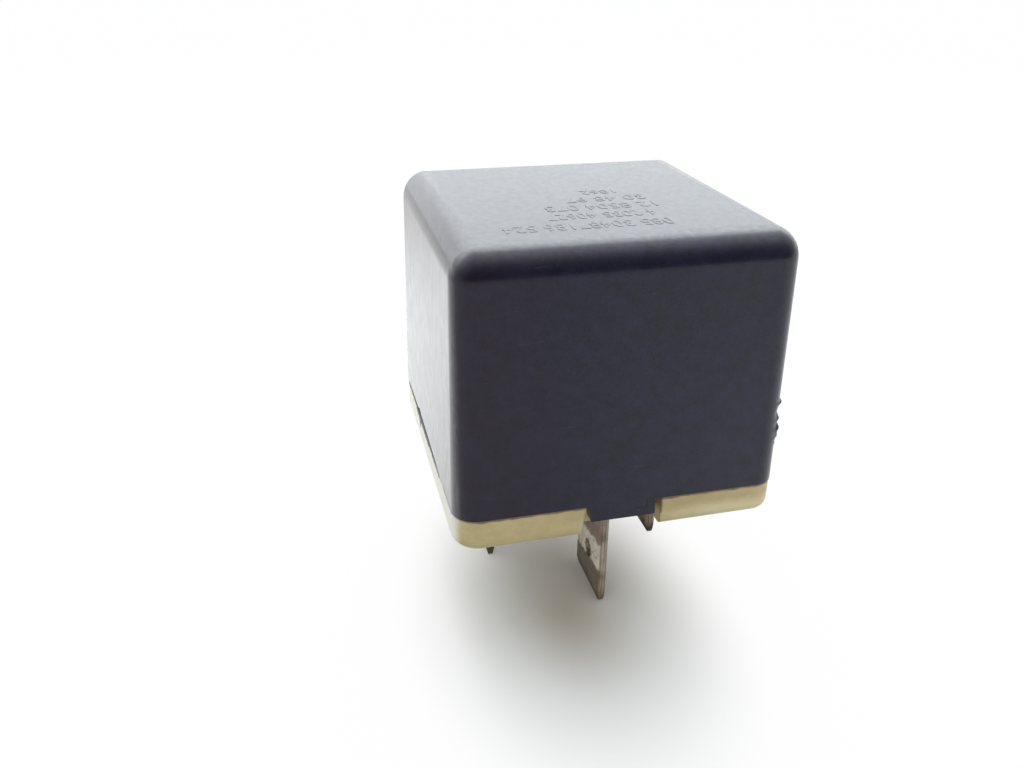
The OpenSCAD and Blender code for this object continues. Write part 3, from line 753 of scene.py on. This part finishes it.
# ---- Leaf spring and its rivets ------------------------------------------------------
# A strip of spring bronze, riveted to the yoke's back and to the armature. It bends over
# the hinge, and its narrow end carries the moving contact.

leaf_low_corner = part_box("leaf_spring")[0]
swing = math.radians(frame["joints"][0]["range_deg"][1])
hinge = Vector(frame["joints"][0]["pos_m"])
spring_thickness = 0.25 * MM
spring_width = 7.0 * MM
neck_width = 4.6 * MM
bend_inside = 1.3 * MM
bend_radius = bend_inside + spring_thickness / 2
leaf_height = 1.46 * MM
contact_reach = 18.2 * MM
armature_length = 14.8 * MM
sheet_gap = 0.03 * MM

bend_y = leaf_low_corner.y + spring_thickness / 2 + bend_radius
bend_z = hinge.z + (
    leaf_height - bend_inside + (bend_inside - sheet_gap) * math.sin(swing)
) / math.cos(swing)
leg = bend_z - leaf_low_corner.z
arc = (math.pi / 2 - swing) * bend_radius
arm_start = Vector((0, bend_y - bend_radius * math.sin(swing), bend_z + bend_radius * math.cos(swing)))
arm_way = Vector((0, math.cos(swing), math.sin(swing)))
tip_reach = contact_reach + neck_width / 2
arm_length = tip_reach - (arm_start - hinge).dot(arm_way)


def leaf_place(along):
    """Middle of the spring at that length from its foot on the yoke."""
    if along < leg:
        return Vector((0, bend_y - bend_radius, leaf_low_corner.z + along))
    if along < leg + arc:
        angle = (along - leg) / bend_radius
        y_at = bend_y - bend_radius * math.cos(angle)
        return Vector((0, y_at, bend_z + bend_radius * math.sin(angle)))
    return arm_start + arm_way * (along - leg - arc)


def leaf_half_width(along):
    """Half the spring's width there: wide on the armature, narrow and round at the contact."""
    reach = along - leg - arc + (arm_start - hinge).dot(arm_way)
    taper = min(max((reach - armature_length + 2 * MM) / (2.6 * MM), 0), 1)
    half = (spring_width + (neck_width - spring_width) * taper) / 2
    past = reach - contact_reach
    if past > 0:
        half = math.sqrt(max((neck_width / 2) ** 2 - past**2, 0.0)) + 0.05 * MM
    return half


leaf = bmesh.new()
rows = 90
bmesh.ops.create_grid(leaf, x_segments=8, y_segments=rows, size=1)
total = leg + arc + arm_length
for vert in leaf.verts:
    along = (vert.co.y + 1) / 2 * total
    across = vert.co.x * leaf_half_width(along)
    vert.co = leaf_place(along) + Vector((across, 0, 0))
bmesh.ops.recalc_face_normals(leaf, faces=leaf.faces)
contact_leaf = piece_from(leaf, "contact_leaf", 60)
sheet = contact_leaf.modifiers.new("sheet", "SOLIDIFY")
sheet.thickness = spring_thickness
sheet.offset = 0

bronze = Finish("spring_bronze", {})
rolled = bronze.grain(0.05 * MM, 2.0, (1, 60, 60))
stain_and_notch_shade = bronze.grain(2.0 * MM, 5.0)
colour = bronze.blend(stain_and_notch_shade, (0.60, 0.37, 0.17, 1), (0.76, 0.54, 0.29, 1))
contact_leaf.data.materials.append(
    bronze.finish(
        base_color=colour, metallic=0.95, roughness=0.24 + stain_and_notch_shade * 0.16 + rolled * 0.08,
        normal=bronze.bump(rolled, 0.003 * MM),
    )
)
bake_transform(contact_leaf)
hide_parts("leaf_spring")

steel = Finish("rivet_steel", {})
turned = steel.grain(0.2 * MM, 3.0)
colour = steel.blend(turned, (0.48, 0.47, 0.45, 1), (0.64, 0.63, 0.61, 1))
rivets = steel.finish(
    base_color=colour, metallic=0.95, roughness=0.30 + turned * 0.15,
    normal=steel.bump(turned, 0.006 * MM),
)
dress_node("armature_rivets", rivets, 0.12 * MM)
dress_node("yoke_rivets", rivets, 0.12 * MM)

# ---- Contacts ------------------------------------------------------------------------
# Silver-alloy contacts riveted through the spring and the two fixed strips, a little
# darkened where they arc.

silver = Finish("contact_silver", {})
pitted = silver.grain(0.25 * MM, 4.0)
colour = silver.blend(silver.ramp(pitted, 0.45, 0.85), (0.80, 0.79, 0.76, 1), (0.58, 0.55, 0.51, 1))
contact = silver.finish(
    base_color=colour, metallic=0.97, roughness=0.26 + pitted * 0.16,
    normal=silver.bump(pitted, 0.004 * MM),
)
for node in ("moving_contact", "lower_contact", "upper_contact"):
    dress_node(node, contact, 0.10 * MM)

# ---- Resistor ------------------------------------------------------------------------
# A small lacquered resistor across the coil terminals, with pressed end caps under the
# lacquer and coloured bands, on two tinned leads.

resistor_low, resistor_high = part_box("resistor")
resistor_middle = (resistor_low + resistor_high) / 2
resistor_length = resistor_high.x - resistor_low.x
cap_radius = (resistor_high.z - resistor_low.z) / 2
waist_radius = cap_radius - 0.1 * MM
cap_length = 1.3 * MM
cap_slope = 0.35 * MM
end_round = 0.6 * MM
band_half = 0.22

body = bmesh.new()
half = resistor_length / 2
profile = [(-half, 0.0)]
for step in range(7):
    angle = math.pi / 2 * step / 6
    x_at = -half + end_round * (1 - math.cos(angle))
    profile.append((x_at, cap_radius - end_round * (1 - math.sin(angle))))
profile.append((-half + cap_length, cap_radius))
profile.append((-half + cap_length + cap_slope, waist_radius))
profile += [(-x_at, radius) for x_at, radius in reversed(profile)]
verts = [
    body.verts.new((resistor_middle.x + x_at, resistor_middle.y, resistor_middle.z + radius))
    for x_at, radius in profile
]
for first, second in zip(verts, verts[1:]):
    body.edges.new((first, second))
bmesh.ops.spin(
    body, geom=body.verts[:] + body.edges[:], cent=resistor_middle, axis=(1, 0, 0),
    angle=2 * math.pi, steps=48, use_merge=True, use_duplicate=False,
)
bmesh.ops.remove_doubles(body, verts=body.verts, dist=1e-7)
bmesh.ops.recalc_face_normals(body, faces=body.faces)
resistor_body = piece_from(body, "resistor_body", 50)

lacquer = Finish("resistor_lacquer", {"Coat Weight": 0.5, "Coat Roughness": 0.15})
x, y, z = lacquer.axes()
colour = lacquer.blend(lacquer.grain(0.8 * MM), (0.08, 0.14, 0.30, 1), (0.11, 0.19, 0.37, 1))
bands = [
    (-2.6, (0.30, 0.02, 0.02, 1)), (-1.3, (0.42, 0.14, 0.02, 1)),
    (-0.1, (0.16, 0.07, 0.03, 1)), (1.9, (0.55, 0.38, 0.10, 1)),
]
for place, paint in bands:
    ring = lacquer.within(x, (place - band_half) * MM, (place + band_half) * MM, 0.03 * MM)
    colour = lacquer.blend(ring, colour, paint)
banded = lacquer.finish(
    base_color=colour, roughness=0.30 + lacquer.grain(0.6 * MM) * 0.1,
    normal=lacquer.bump(lacquer.grain(0.5 * MM), 0.01 * MM),
)
resistor_body.data.materials.append(banded)
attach(resistor_body, "housing")
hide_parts("resistor")

wire = Finish("tinned_wire", {})
dull = wire.grain(0.4 * MM, 4.0)
colour = wire.blend(dull, (0.52, 0.51, 0.49, 1), (0.70, 0.69, 0.67, 1))
leads = wire.finish(
    base_color=colour, metallic=0.93, roughness=0.30 + dull * 0.2, normal=wire.bump(dull, 0.004 * MM)
)
dress_node("resistor_leads", leads, 0.03 * MM)

# ---- Cover ---------------------------------------------------------------------------
# A dark slate box moulded in one piece, open below, with round edges and a slight draft.
# A tab hangs from its front wall into the base's notch. It is scuffed and dusty, its left
# rim stands open a little, and its right edge is torn in one place.

wall = 1.2 * MM
draft = 0.23 * MM
side_round = 2.05 * MM
top_round = 2.5 * MM
tab_left = -2.86 * MM
tab_right = 2.9 * MM
tab_slant = 0.22 * MM
tab_low = cover_low.z
top_z = cover_high.z

shell = rounded_sheet(side_round)
drag(shell, shell.faces[:], (0, 0, top_z - top_round - seam_z))
bmesh.ops.recalc_face_normals(shell, faces=shell.faces)
bottom = face_towards(shell, (0, 0, -1), (0, 0, seam_z))
roof = face_towards(shell, (0, 0, 1), (0, 0, top_z))
narrow = 1 - draft / side
bmesh.ops.scale(shell, vec=(narrow, narrow, 1), verts=roof.verts)
bmesh.ops.delete(shell, geom=[bottom], context="FACES_ONLY")


def round_over(bm, face, start, stop, steps):
    """Rounds a face's edge by rings, over part of the quarter turn from wall to top."""
    for step in range(steps):
        low = math.radians(start + (stop - start) * step / steps)
        high = math.radians(start + (stop - start) * (step + 1) / steps)
        bmesh.ops.inset_region(
            bm, faces=[face], use_even_offset=True,
            thickness=top_round * (math.cos(low) - math.cos(high)),
            depth=top_round * (math.sin(high) - math.sin(low)),
        )


# the corner arcs shrink to points before the rounding ends, and are joined there
meeting = 78
round_over(shell, roof, 0, meeting, 8)
for x_way in (-1, 1):
    for y_way in (-1, 1):
        arc = [v for v in roof.verts if v.co.x * x_way > 0 and v.co.y * y_way > 0]
        corner = sum((v.co for v in arc), Vector()) / len(arc)
        bmesh.ops.pointmerge(shell, verts=arc, merge_co=corner)
        shell.normal_update()
        roof = face_towards(shell, (0, 0, 1), (0, 0, top_z))
round_over(shell, roof, meeting, 90, 2)


def cut_where(bm, inside, point, normal):
    """Cuts only the faces whose middle passes the test."""
    faces = [f for f in bm.faces if inside(f.calc_center_median())]
    edges = list(dict.fromkeys(e for f in faces for e in f.edges))
    verts = list(dict.fromkeys(v for f in faces for v in f.verts))
    bmesh.ops.bisect_plane(bm, geom=faces + edges + verts, plane_co=point, plane_no=normal)


flat_half = side - side_round
wall_top = top_z - top_round


def on_front(centre):
    """Faces of the front wall, between its rounded corners."""
    return centre.y < -side + wall and abs(centre.x) < flat_half and centre.z < wall_top


def on_left(centre):
    """Faces of the left wall, between its rounded corners."""
    return centre.x < -side + wall and abs(centre.y) < flat_half and centre.z < wall_top


# the tab, drawn down from the front wall's lower edge
for x_cut in (tab_left, tab_right):
    cut_where(shell, on_front, (x_cut, 0, 0), (1, 0, 0))
hem = []
for edge in shell.edges:
    middle = (edge.verts[0].co + edge.verts[1].co) / 2
    if edge.is_boundary and middle.y < -side + wall and tab_left < middle.x < tab_right:
        hem.append(edge)
new = bmesh.ops.extrude_edge_only(shell, edges=hem)["geom"]
moved = [v for v in new if isinstance(v, bmesh.types.BMVert)]
bmesh.ops.translate(shell, vec=(0, 0, tab_low - seam_z), verts=moved)
bmesh.ops.recalc_face_normals(shell, faces=shell.faces)
for vert in shell.verts:
    if vert.co.z < seam_z - 1e-6 and vert.co.x < tab_left + 1e-6:
        vert.co.x += tab_slant

fill_corner(shell, 1, -1, side_round, 0.10)
fill_corner(shell, -1, 1, side_round, 0.70)

# the left rim, lifted where the seam stands open
left_places = [(-7.0 + 0.5 * i) * MM for i in range(38)]
for y_cut in left_places:
    cut_where(shell, on_left, (0, y_cut, 0), (0, 1, 0))
lift = 0.28 * MM
nick_height = 0.3 * MM
for vert in shell.verts:
    if vert.is_boundary and vert.co.x < -side + wall and abs(vert.co.z - seam_z) < 1e-6:
        place = vert.co.y / MM
        along = min(max((place + 6.4) / 2.0, 0), 1) * min(max((14.0 - place) / 1.5, 0), 1)
        wide = math.exp(-(((place - 3.0) / 4.5) ** 2))
        nick = math.exp(-(((place - 4.9) / 0.5) ** 2))
        vert.co.z += lift * along * (0.75 + 0.9 * wide) + nick_height * nick

# the torn place on the front right edge
torn_low = 16.2 * MM
torn_high = 20.8 * MM
torn_cuts = 40
torn_angle = 27
torn_spread = 17


def near_tear(centre):
    """Faces of the front right corner's rounding."""
    return centre.x > flat_half - 0.2 * MM and centre.y < -flat_half + 0.2 * MM


def ridge(height, place, width):
    """A hump at that height above the floor, both in millimetres."""
    return math.exp(-(((height / MM - place) / width) ** 2))


for step in range(torn_cuts + 1):
    height = torn_low + (torn_high - torn_low) * step / torn_cuts
    cut_where(shell, near_tear, (0, 0, height), (0, 0, 1))
for vert in shell.verts:
    if near_tear(vert.co) and torn_low + 1e-6 < vert.co.z < torn_high - 1e-6:
        out = Vector((vert.co.x - flat_half, vert.co.y + flat_half, 0)).normalized()
        turned = math.degrees(math.atan2(-out.y, out.x))
        height = vert.co.z
        share = math.exp(-(((turned - torn_angle) / torn_spread) ** 2))
        share *= min(1, 6 * (height - torn_low) / MM) * min(1, 6 * (torn_high - height) / MM)
        ragged = noise.noise(Vector((turned * 0.09, 3.0, height / (0.22 * MM))))
        torn = 0.20 * ridge(height, 20.45, 0.13) - 0.20 * ridge(height, 19.65, 0.30)
        torn += 0.15 * ridge(height, 18.95, 0.16) + 0.24 * ridge(height, 18.05, 0.26)
        torn += 0.14 * ridge(height, 17.4, 0.45)
        vert.co += out * share * (0.13 * ragged + torn) * MM

cover_shell = piece_from(shell, "cover_shell", 50)
thickness = cover_shell.modifiers.new("wall", "SOLIDIFY")
thickness.thickness = wall
thickness.offset = -1
thickness.use_even_offset = True
soften_edges(cover_shell, 0.07 * MM)

slate = Finish("slate_plastic", {"IOR": 1.38, "Coat Roughness": 0.12})
x, y, z = slate.axes()
mottle = slate.grain(1.5 * MM, 6.0, rough=0.65)
broad = slate.grain(9 * MM, 3.0, shift=5.0)
fine = slate.grain(0.16 * MM, 2.0, shift=1.0)
clouds = slate.ramp(mottle, 0.3, 0.7)
colour = slate.blend(clouds, (0.0045, 0.0042, 0.0150, 1), (0.0105, 0.0095, 0.0340, 1))
speckle = slate.ramp(slate.grain(0.17 * MM, 3.0, shift=14.0, rough=0.7), 0.35, 0.65)
colour = slate.blend(speckle * 0.22, colour, (0.030, 0.028, 0.036, 1))
ruddy = slate.ramp(x + broad * 9 * MM, 5 * MM, -9 * MM)
colour = slate.blend(ruddy * 0.5, colour, (0.0130, 0.0050, 0.0130, 1))
upright = slate.node("ShaderNodeNewGeometry", {}, {}, "Normal")
upward = slate.node("ShaderNodeSeparateXYZ", {}, {0: upright}, 2)
dust = slate.grain(1.3 * MM, 6.0, shift=2.0) * 0.6 + broad * 0.4
film = slate.ramp(upward, 0.80, 0.99) * slate.ramp(dust, 0.30, 0.75)
colour = slate.blend(film * 0.14, colour, (0.35, 0.44, 0.45, 1))
rub = slate.grain(0.7 * MM, 6.0, (1, 1, 3), 8.0, 0.65)
left_wall = slate.ramp(x, -13.3 * MM, -13.75 * MM)
streaks = left_wall * slate.ramp(rub, 0.38, 0.66)
colour = slate.blend(streaks * 0.09, colour, (0.50, 0.47, 0.44, 1))
scratch = slate.grain(0.30 * MM, 2.0, (14, 1, 1), 12.0)
marks = slate.ramp(scratch, 0.73, 0.78)
# faint scuffs on the front and on the edge above it
scuffs = [
    (-10.0, 30.7, 1.3, 0.15), (-7.2, 28.3, 1.6, 0.10), (-2.2, 30.9, 1.0, -0.08),
    (2.0, 31.4, 1.4, 0.12), (-7.1, 33.9, 1.2, 0.05),
]
broken = slate.ramp(slate.grain(0.25 * MM, 3.0, (3, 1, 1), 6.0), 0.46, 0.60)
front_wall = slate.ramp(y, -12.4 * MM, -13.0 * MM)
for x_at, z_at, half, slope in scuffs:
    drift = z - x * slope
    level = (z_at - x_at * slope) * MM
    scuff = slate.within(drift, level - 0.05 * MM, level + 0.05 * MM, 0.05 * MM)
    scuff = scuff * slate.within(x, (x_at - half) * MM, (x_at + half) * MM, 0.4 * MM)
    marks = marks + scuff * broken * front_wall
colour = slate.blend(marks * 0.055, colour, (0.20, 0.20, 0.22, 1))
# a white nick on the left edge of the top, and the torn place's dull face
nick_place = (-13.75 * MM, -9.8 * MM, 34.4 * MM)
from_nick = slate.node(
    "ShaderNodeVectorMath", {"operation": "DISTANCE"}, {0: slate.place, 1: nick_place}, "Value"
)
nick = slate.ramp(from_nick, 0.32 * MM, 0.12 * MM)
colour = slate.blend(nick * 0.9, colour, (0.75, 0.75, 0.76, 1))
torn = slate.within(z + mottle * MM, 18.0 * MM, 20.8 * MM, 0.4 * MM)
torn = torn * slate.ramp(x, 13.2 * MM, 13.7 * MM)
torn = torn * slate.ramp(y, -11.4 * MM, -12.2 * MM)
colour = slate.blend(torn * 0.6, colour, (0.0060, 0.0050, 0.0070, 1))
# the walls are glossier to the right, and blotchy all over
walls = slate.ramp(upward, 0.55, 0.15)
sheen = slate.grain(0.55 * MM, 6.0, shift=20.0, rough=0.75)
coat = left_wall * 0.64 + walls * slate.ramp(x, -8 * MM, 13 * MM) * 0.17 + (1 - walls) * 0.06
coat = coat + slate.ramp(sheen, 0.30, 0.70) * (0.24 - walls * 0.10) - torn * 0.2
# a dark line painted round the tab's right-hand corner, as painted shade along a small step there, and
# sunk a little by the bump
tab_line = slate.within(x, 2.05 * MM, 2.12 * MM, 0.05 * MM) * slate.ramp(z, 12.5 * MM, 12.6 * MM)
low_line = slate.within(z, 12.48 * MM, 12.55 * MM, 0.05 * MM)
low_line = low_line * slate.within(x, 1.1 * MM, 2.1 * MM, 0.06 * MM)
step_shade_line = (tab_line + low_line) * slate.ramp(z, seam_z + 0.3 * MM, seam_z) * front_wall
colour = slate.blend(step_shade_line * 0.8, colour, (0.002, 0.002, 0.002, 1))
coat = coat - step_shade_line * 0.3
relief = slate.bump(fine, 0.006 * MM)
relief = slate.bump(broad, 0.05 * MM, relief)
relief = slate.bump(step_shade_line, -0.10 * MM, relief)
rough = 0.25 + mottle * 0.08 + film * 0.10 + streaks * 0.10 + marks * 0.1 + torn * 0.4
plastic = slate.finish(base_color=colour, roughness=rough, coat_weight=coat, normal=relief)
cover_shell.data.materials.append(plastic)
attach(cover_shell, "housing")
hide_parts("cover")

# plain numbers in low relief on the top, which read from behind
ink = Finish("slate_numbers", {"IOR": 1.36})
worn = ink.grain(0.5 * MM, 4.0, shift=3.0)
colour = ink.blend(worn, (0.03, 0.03, 0.04, 1), (0.12, 0.12, 0.13, 1))
rubbed = ink.ramp(worn, 0.46, 0.62)
raised = ink.finish(
    base_color=colour, roughness=0.30 + worn * 0.12, coat_weight=rubbed * 0.24,
    normal=ink.bump(worn, 0.03 * MM),
)
number_relief = 0.02 * MM
lines = [
    ("085 30487186 524", -9.0, 4.5, -8.8, 1.6),
    ("4 2035 40627", -4.9, 4.2, -6.2, 1.5),
    ("12 8504 073", -4.2, 5.2, -3.8, 1.5),
    ("30 48 97", -2.0, 5.0, -1.5, 1.4),
    ("1862", 0.2, 3.2, 0.7, 1.2),
]


def span(mesh, axis):
    """Length of a mesh along an axis."""
    places = [v.co[axis] for v in mesh.vertices]
    return max(places) - min(places)


for row, (digits, left, right_end, middle_y, height) in enumerate(lines):
    text = bpy.data.curves.new("digits", "FONT")
    text.body = digits
    text.align_x = "CENTER"
    text.align_y = "CENTER"
    text.extrude = 1.0
    mesh = mesh_of(text)
    wide = (right_end - left) * MM / span(mesh, 0)
    tall = height * MM / span(mesh, 1)
    place = Vector(((left + right_end) / 2 * MM, middle_y * MM, top_z))
    turn = Matrix.Rotation(math.pi, 4, "Z") @ Matrix.Diagonal((wide, tall, number_relief, 1))
    mesh.transform(Matrix.Translation(place) @ turn)
    numbers = closed_piece(mesh, "cover_digits_" + str(row))
    numbers.data.materials.append(raised)
    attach(numbers, "housing")

# ---- Floor, light and camera ---------------------------------------------------------
# A pale table under soft light from behind and above, a little from the left, with dim
# light from the front. The camera stands before the front, to its left, and looks down.

table_half = 1.6
table = bmesh.new()
bmesh.ops.create_grid(table, x_segments=8, y_segments=8, size=table_half)
floor = piece_from(table, "table_top")
paper = Finish("pale_table", {"Roughness": 0.75, "Specular IOR Level": 0.2})
x, y, z = paper.axes()
floor_tone_and_shadow = paper.blend(paper.grain(14 * MM), (0.86, 0.86, 0.86, 1), (0.90, 0.90, 0.895, 1))
# seen by the camera the table turns white a little way off, and a painted shadow darkens and warms it
# under the relay
from_relay = paper.node(
    "ShaderNodeVectorMath", {"operation": "SUBTRACT"}, {0: paper.place, 1: (-3.4 * MM, -11.8 * MM, 0)}
)
from_relay = paper.node(
    "ShaderNodeVectorMath", {"operation": "MULTIPLY"}, {0: from_relay, 1: (1, 0.63, 1)}
)
near = paper.node("ShaderNodeVectorMath", {"operation": "LENGTH"}, {0: from_relay}, "Value")
far = paper.node("ShaderNodeVectorMath", {"operation": "LENGTH"}, {0: paper.place}, "Value")
floor_tone_and_shadow = paper.blend(paper.ramp(near, 7.0 * MM, 0) * 0.70, floor_tone_and_shadow, (0.42, 0.36, 0.28, 1))
paper.finish(base_color=floor_tone_and_shadow)
glow = paper.node("ShaderNodeEmission", {}, {"Color": (1, 1, 1, 1), "Strength": 1.0})
mirrored = paper.node("ShaderNodeLightPath", {}, {}, "Is Glossy Ray")
mirrored = mirrored + paper.node("ShaderNodeLightPath", {}, {}, "Is Transmission Ray")
share = mirrored * (0.05 + paper.ramp(far, 0.05, 0.16) * 0.95)
seen = paper.node("ShaderNodeLightPath", {}, {}, "Is Camera Ray")
share = share + seen * (0.02 + paper.ramp(near, 4.6 * MM, 16.8 * MM) * 0.94)
output = paper.tree.nodes["Material Output"]
mixed = paper.node(
    "ShaderNodeMixShader", {}, {0: share, 1: Number(paper, paper.shader.outputs[0]), 2: glow}
)
paper.feed(output.inputs["Surface"], mixed)
floor.data.materials.append(paper.material)

scene = bpy.context.scene
scene.view_settings.view_transform = "Standard"

world = bpy.data.worlds.new("studio")
scene.world = world
world.use_nodes = True
sky = world.node_tree
sky.nodes.clear()
path = sky.nodes.new("ShaderNodeLightPath")
bearing = sky.nodes.new("ShaderNodeTexCoord")
split = sky.nodes.new("ShaderNodeSeparateXYZ")
sky.links.new(bearing.outputs["Generated"], split.inputs[0])


def sky_ramp(axis, low, high, start, end):
    """Strength that goes from start to end as the direction turns along an axis."""
    step = sky.nodes.new("ShaderNodeMapRange")
    step.interpolation_type = "SMOOTHSTEP"
    for name, value in (("From Min", low), ("From Max", high), ("To Min", start), ("To Max", end)):
        step.inputs[name].default_value = value
    sky.links.new(split.outputs[axis], step.inputs["Value"])
    return step.outputs["Result"]


def sky_mix(share, first, second):
    """The first strength where share is 0, and the second where it is 1."""
    mix = sky.nodes.new("ShaderNodeMix")
    for name, value in (("Factor", share), ("A", first), ("B", second)):
        if isinstance(value, float):
            mix.inputs[name].default_value = value
        else:
            sky.links.new(value, mix.inputs[name])
    return mix.outputs["Result"]


def sky_math(operation, first, second):
    """One sum or product of two strengths."""
    sum_node = sky.nodes.new("ShaderNodeMath")
    sum_node.operation = operation
    sky.links.new(first, sum_node.inputs[0])
    sky.links.new(second, sum_node.inputs[1])
    return sum_node.outputs["Value"]


# what lights the scene, what shiny surfaces mirror, and the white that the camera sees
lit = sky_ramp("Y", -0.5, 0.5, 0.72, 0.98)
bright = sky_ramp("Z", 0.20, 0.93, 2.2, 7.5)
high_front = sky_ramp("Y", 0.12, 0.40, 0.42, 1.0)
low_front = sky_ramp("Y", -0.80, 0.20, 0.12, 1.0)
shiny = sky_math("MULTIPLY", bright, sky_math("MULTIPLY", high_front, low_front))
strength = sky_mix(path.outputs["Is Glossy Ray"], lit, shiny)
strength = sky_mix(path.outputs["Is Camera Ray"], strength, 1.0)
background = sky.nodes.new("ShaderNodeBackground")
background.inputs["Color"].default_value = (0.95, 0.985, 0.995, 1)
sky.links.new(strength, background.inputs["Strength"])
ending = sky.nodes.new("ShaderNodeOutputWorld")
sky.links.new(background.outputs[0], ending.inputs[0])


def soft_box(name, place, size, power, aim):
    """A soft lamp that faces the point aimed at, out of the picture."""
    light = bpy.data.lights.new(name, "AREA")
    light.shape = "RECTANGLE"
    light.size = size[0]
    light.size_y = size[1]
    light.energy = power
    lamp = bpy.data.objects.new(name, light)
    scene.collection.objects.link(lamp)
    lamp.location = place
    lamp.rotation_mode = "QUATERNION"
    lamp.rotation_quaternion = (Vector(place) - Vector(aim)).to_track_quat("Z", "Y")
    lamp.visible_camera = False
    return lamp


soft_box("ceiling", (0.03, 0.10, 0.27), (0.22, 0.22), 0.38, (0, 0, 0)).visible_glossy = False

beam = bpy.data.lights.new("floor_beam", "SPOT")
beam.energy = 2.0
beam.spot_size = math.radians(38)
beam.spot_blend = 1.0
beam.shadow_soft_size = 0.03
beam_lamp = bpy.data.objects.new("floor_beam", beam)
scene.collection.objects.link(beam_lamp)
beam_lamp.location = (-0.035, 0.09, 0.30)
beam_lamp.visible_glossy = False

eye = Vector((-23.747, -71.609, 54.474)) * MM
pitch = math.radians(26.291)
yaw = math.radians(13.914)
roll = math.radians(0.433)
ahead = Vector((math.sin(yaw) * math.cos(pitch), math.cos(yaw) * math.cos(pitch), -math.sin(pitch)))
level = Vector((math.cos(yaw), -math.sin(yaw), 0))
above = level.cross(ahead)
right = level * math.cos(roll) + above * math.sin(roll)
up = above * math.cos(roll) - level * math.sin(roll)
lens = bpy.data.cameras.new("camera")
lens.lens = 31.41
lens.sensor_width = 36
lens.clip_start = 0.001
lens.clip_end = 10
camera = bpy.data.objects.new("camera", lens)
scene.collection.objects.link(camera)
turn = Matrix((right, up, -ahead)).transposed().to_4x4()
camera.matrix_world = Matrix.Translation(eye) @ turn
scene.camera = camera
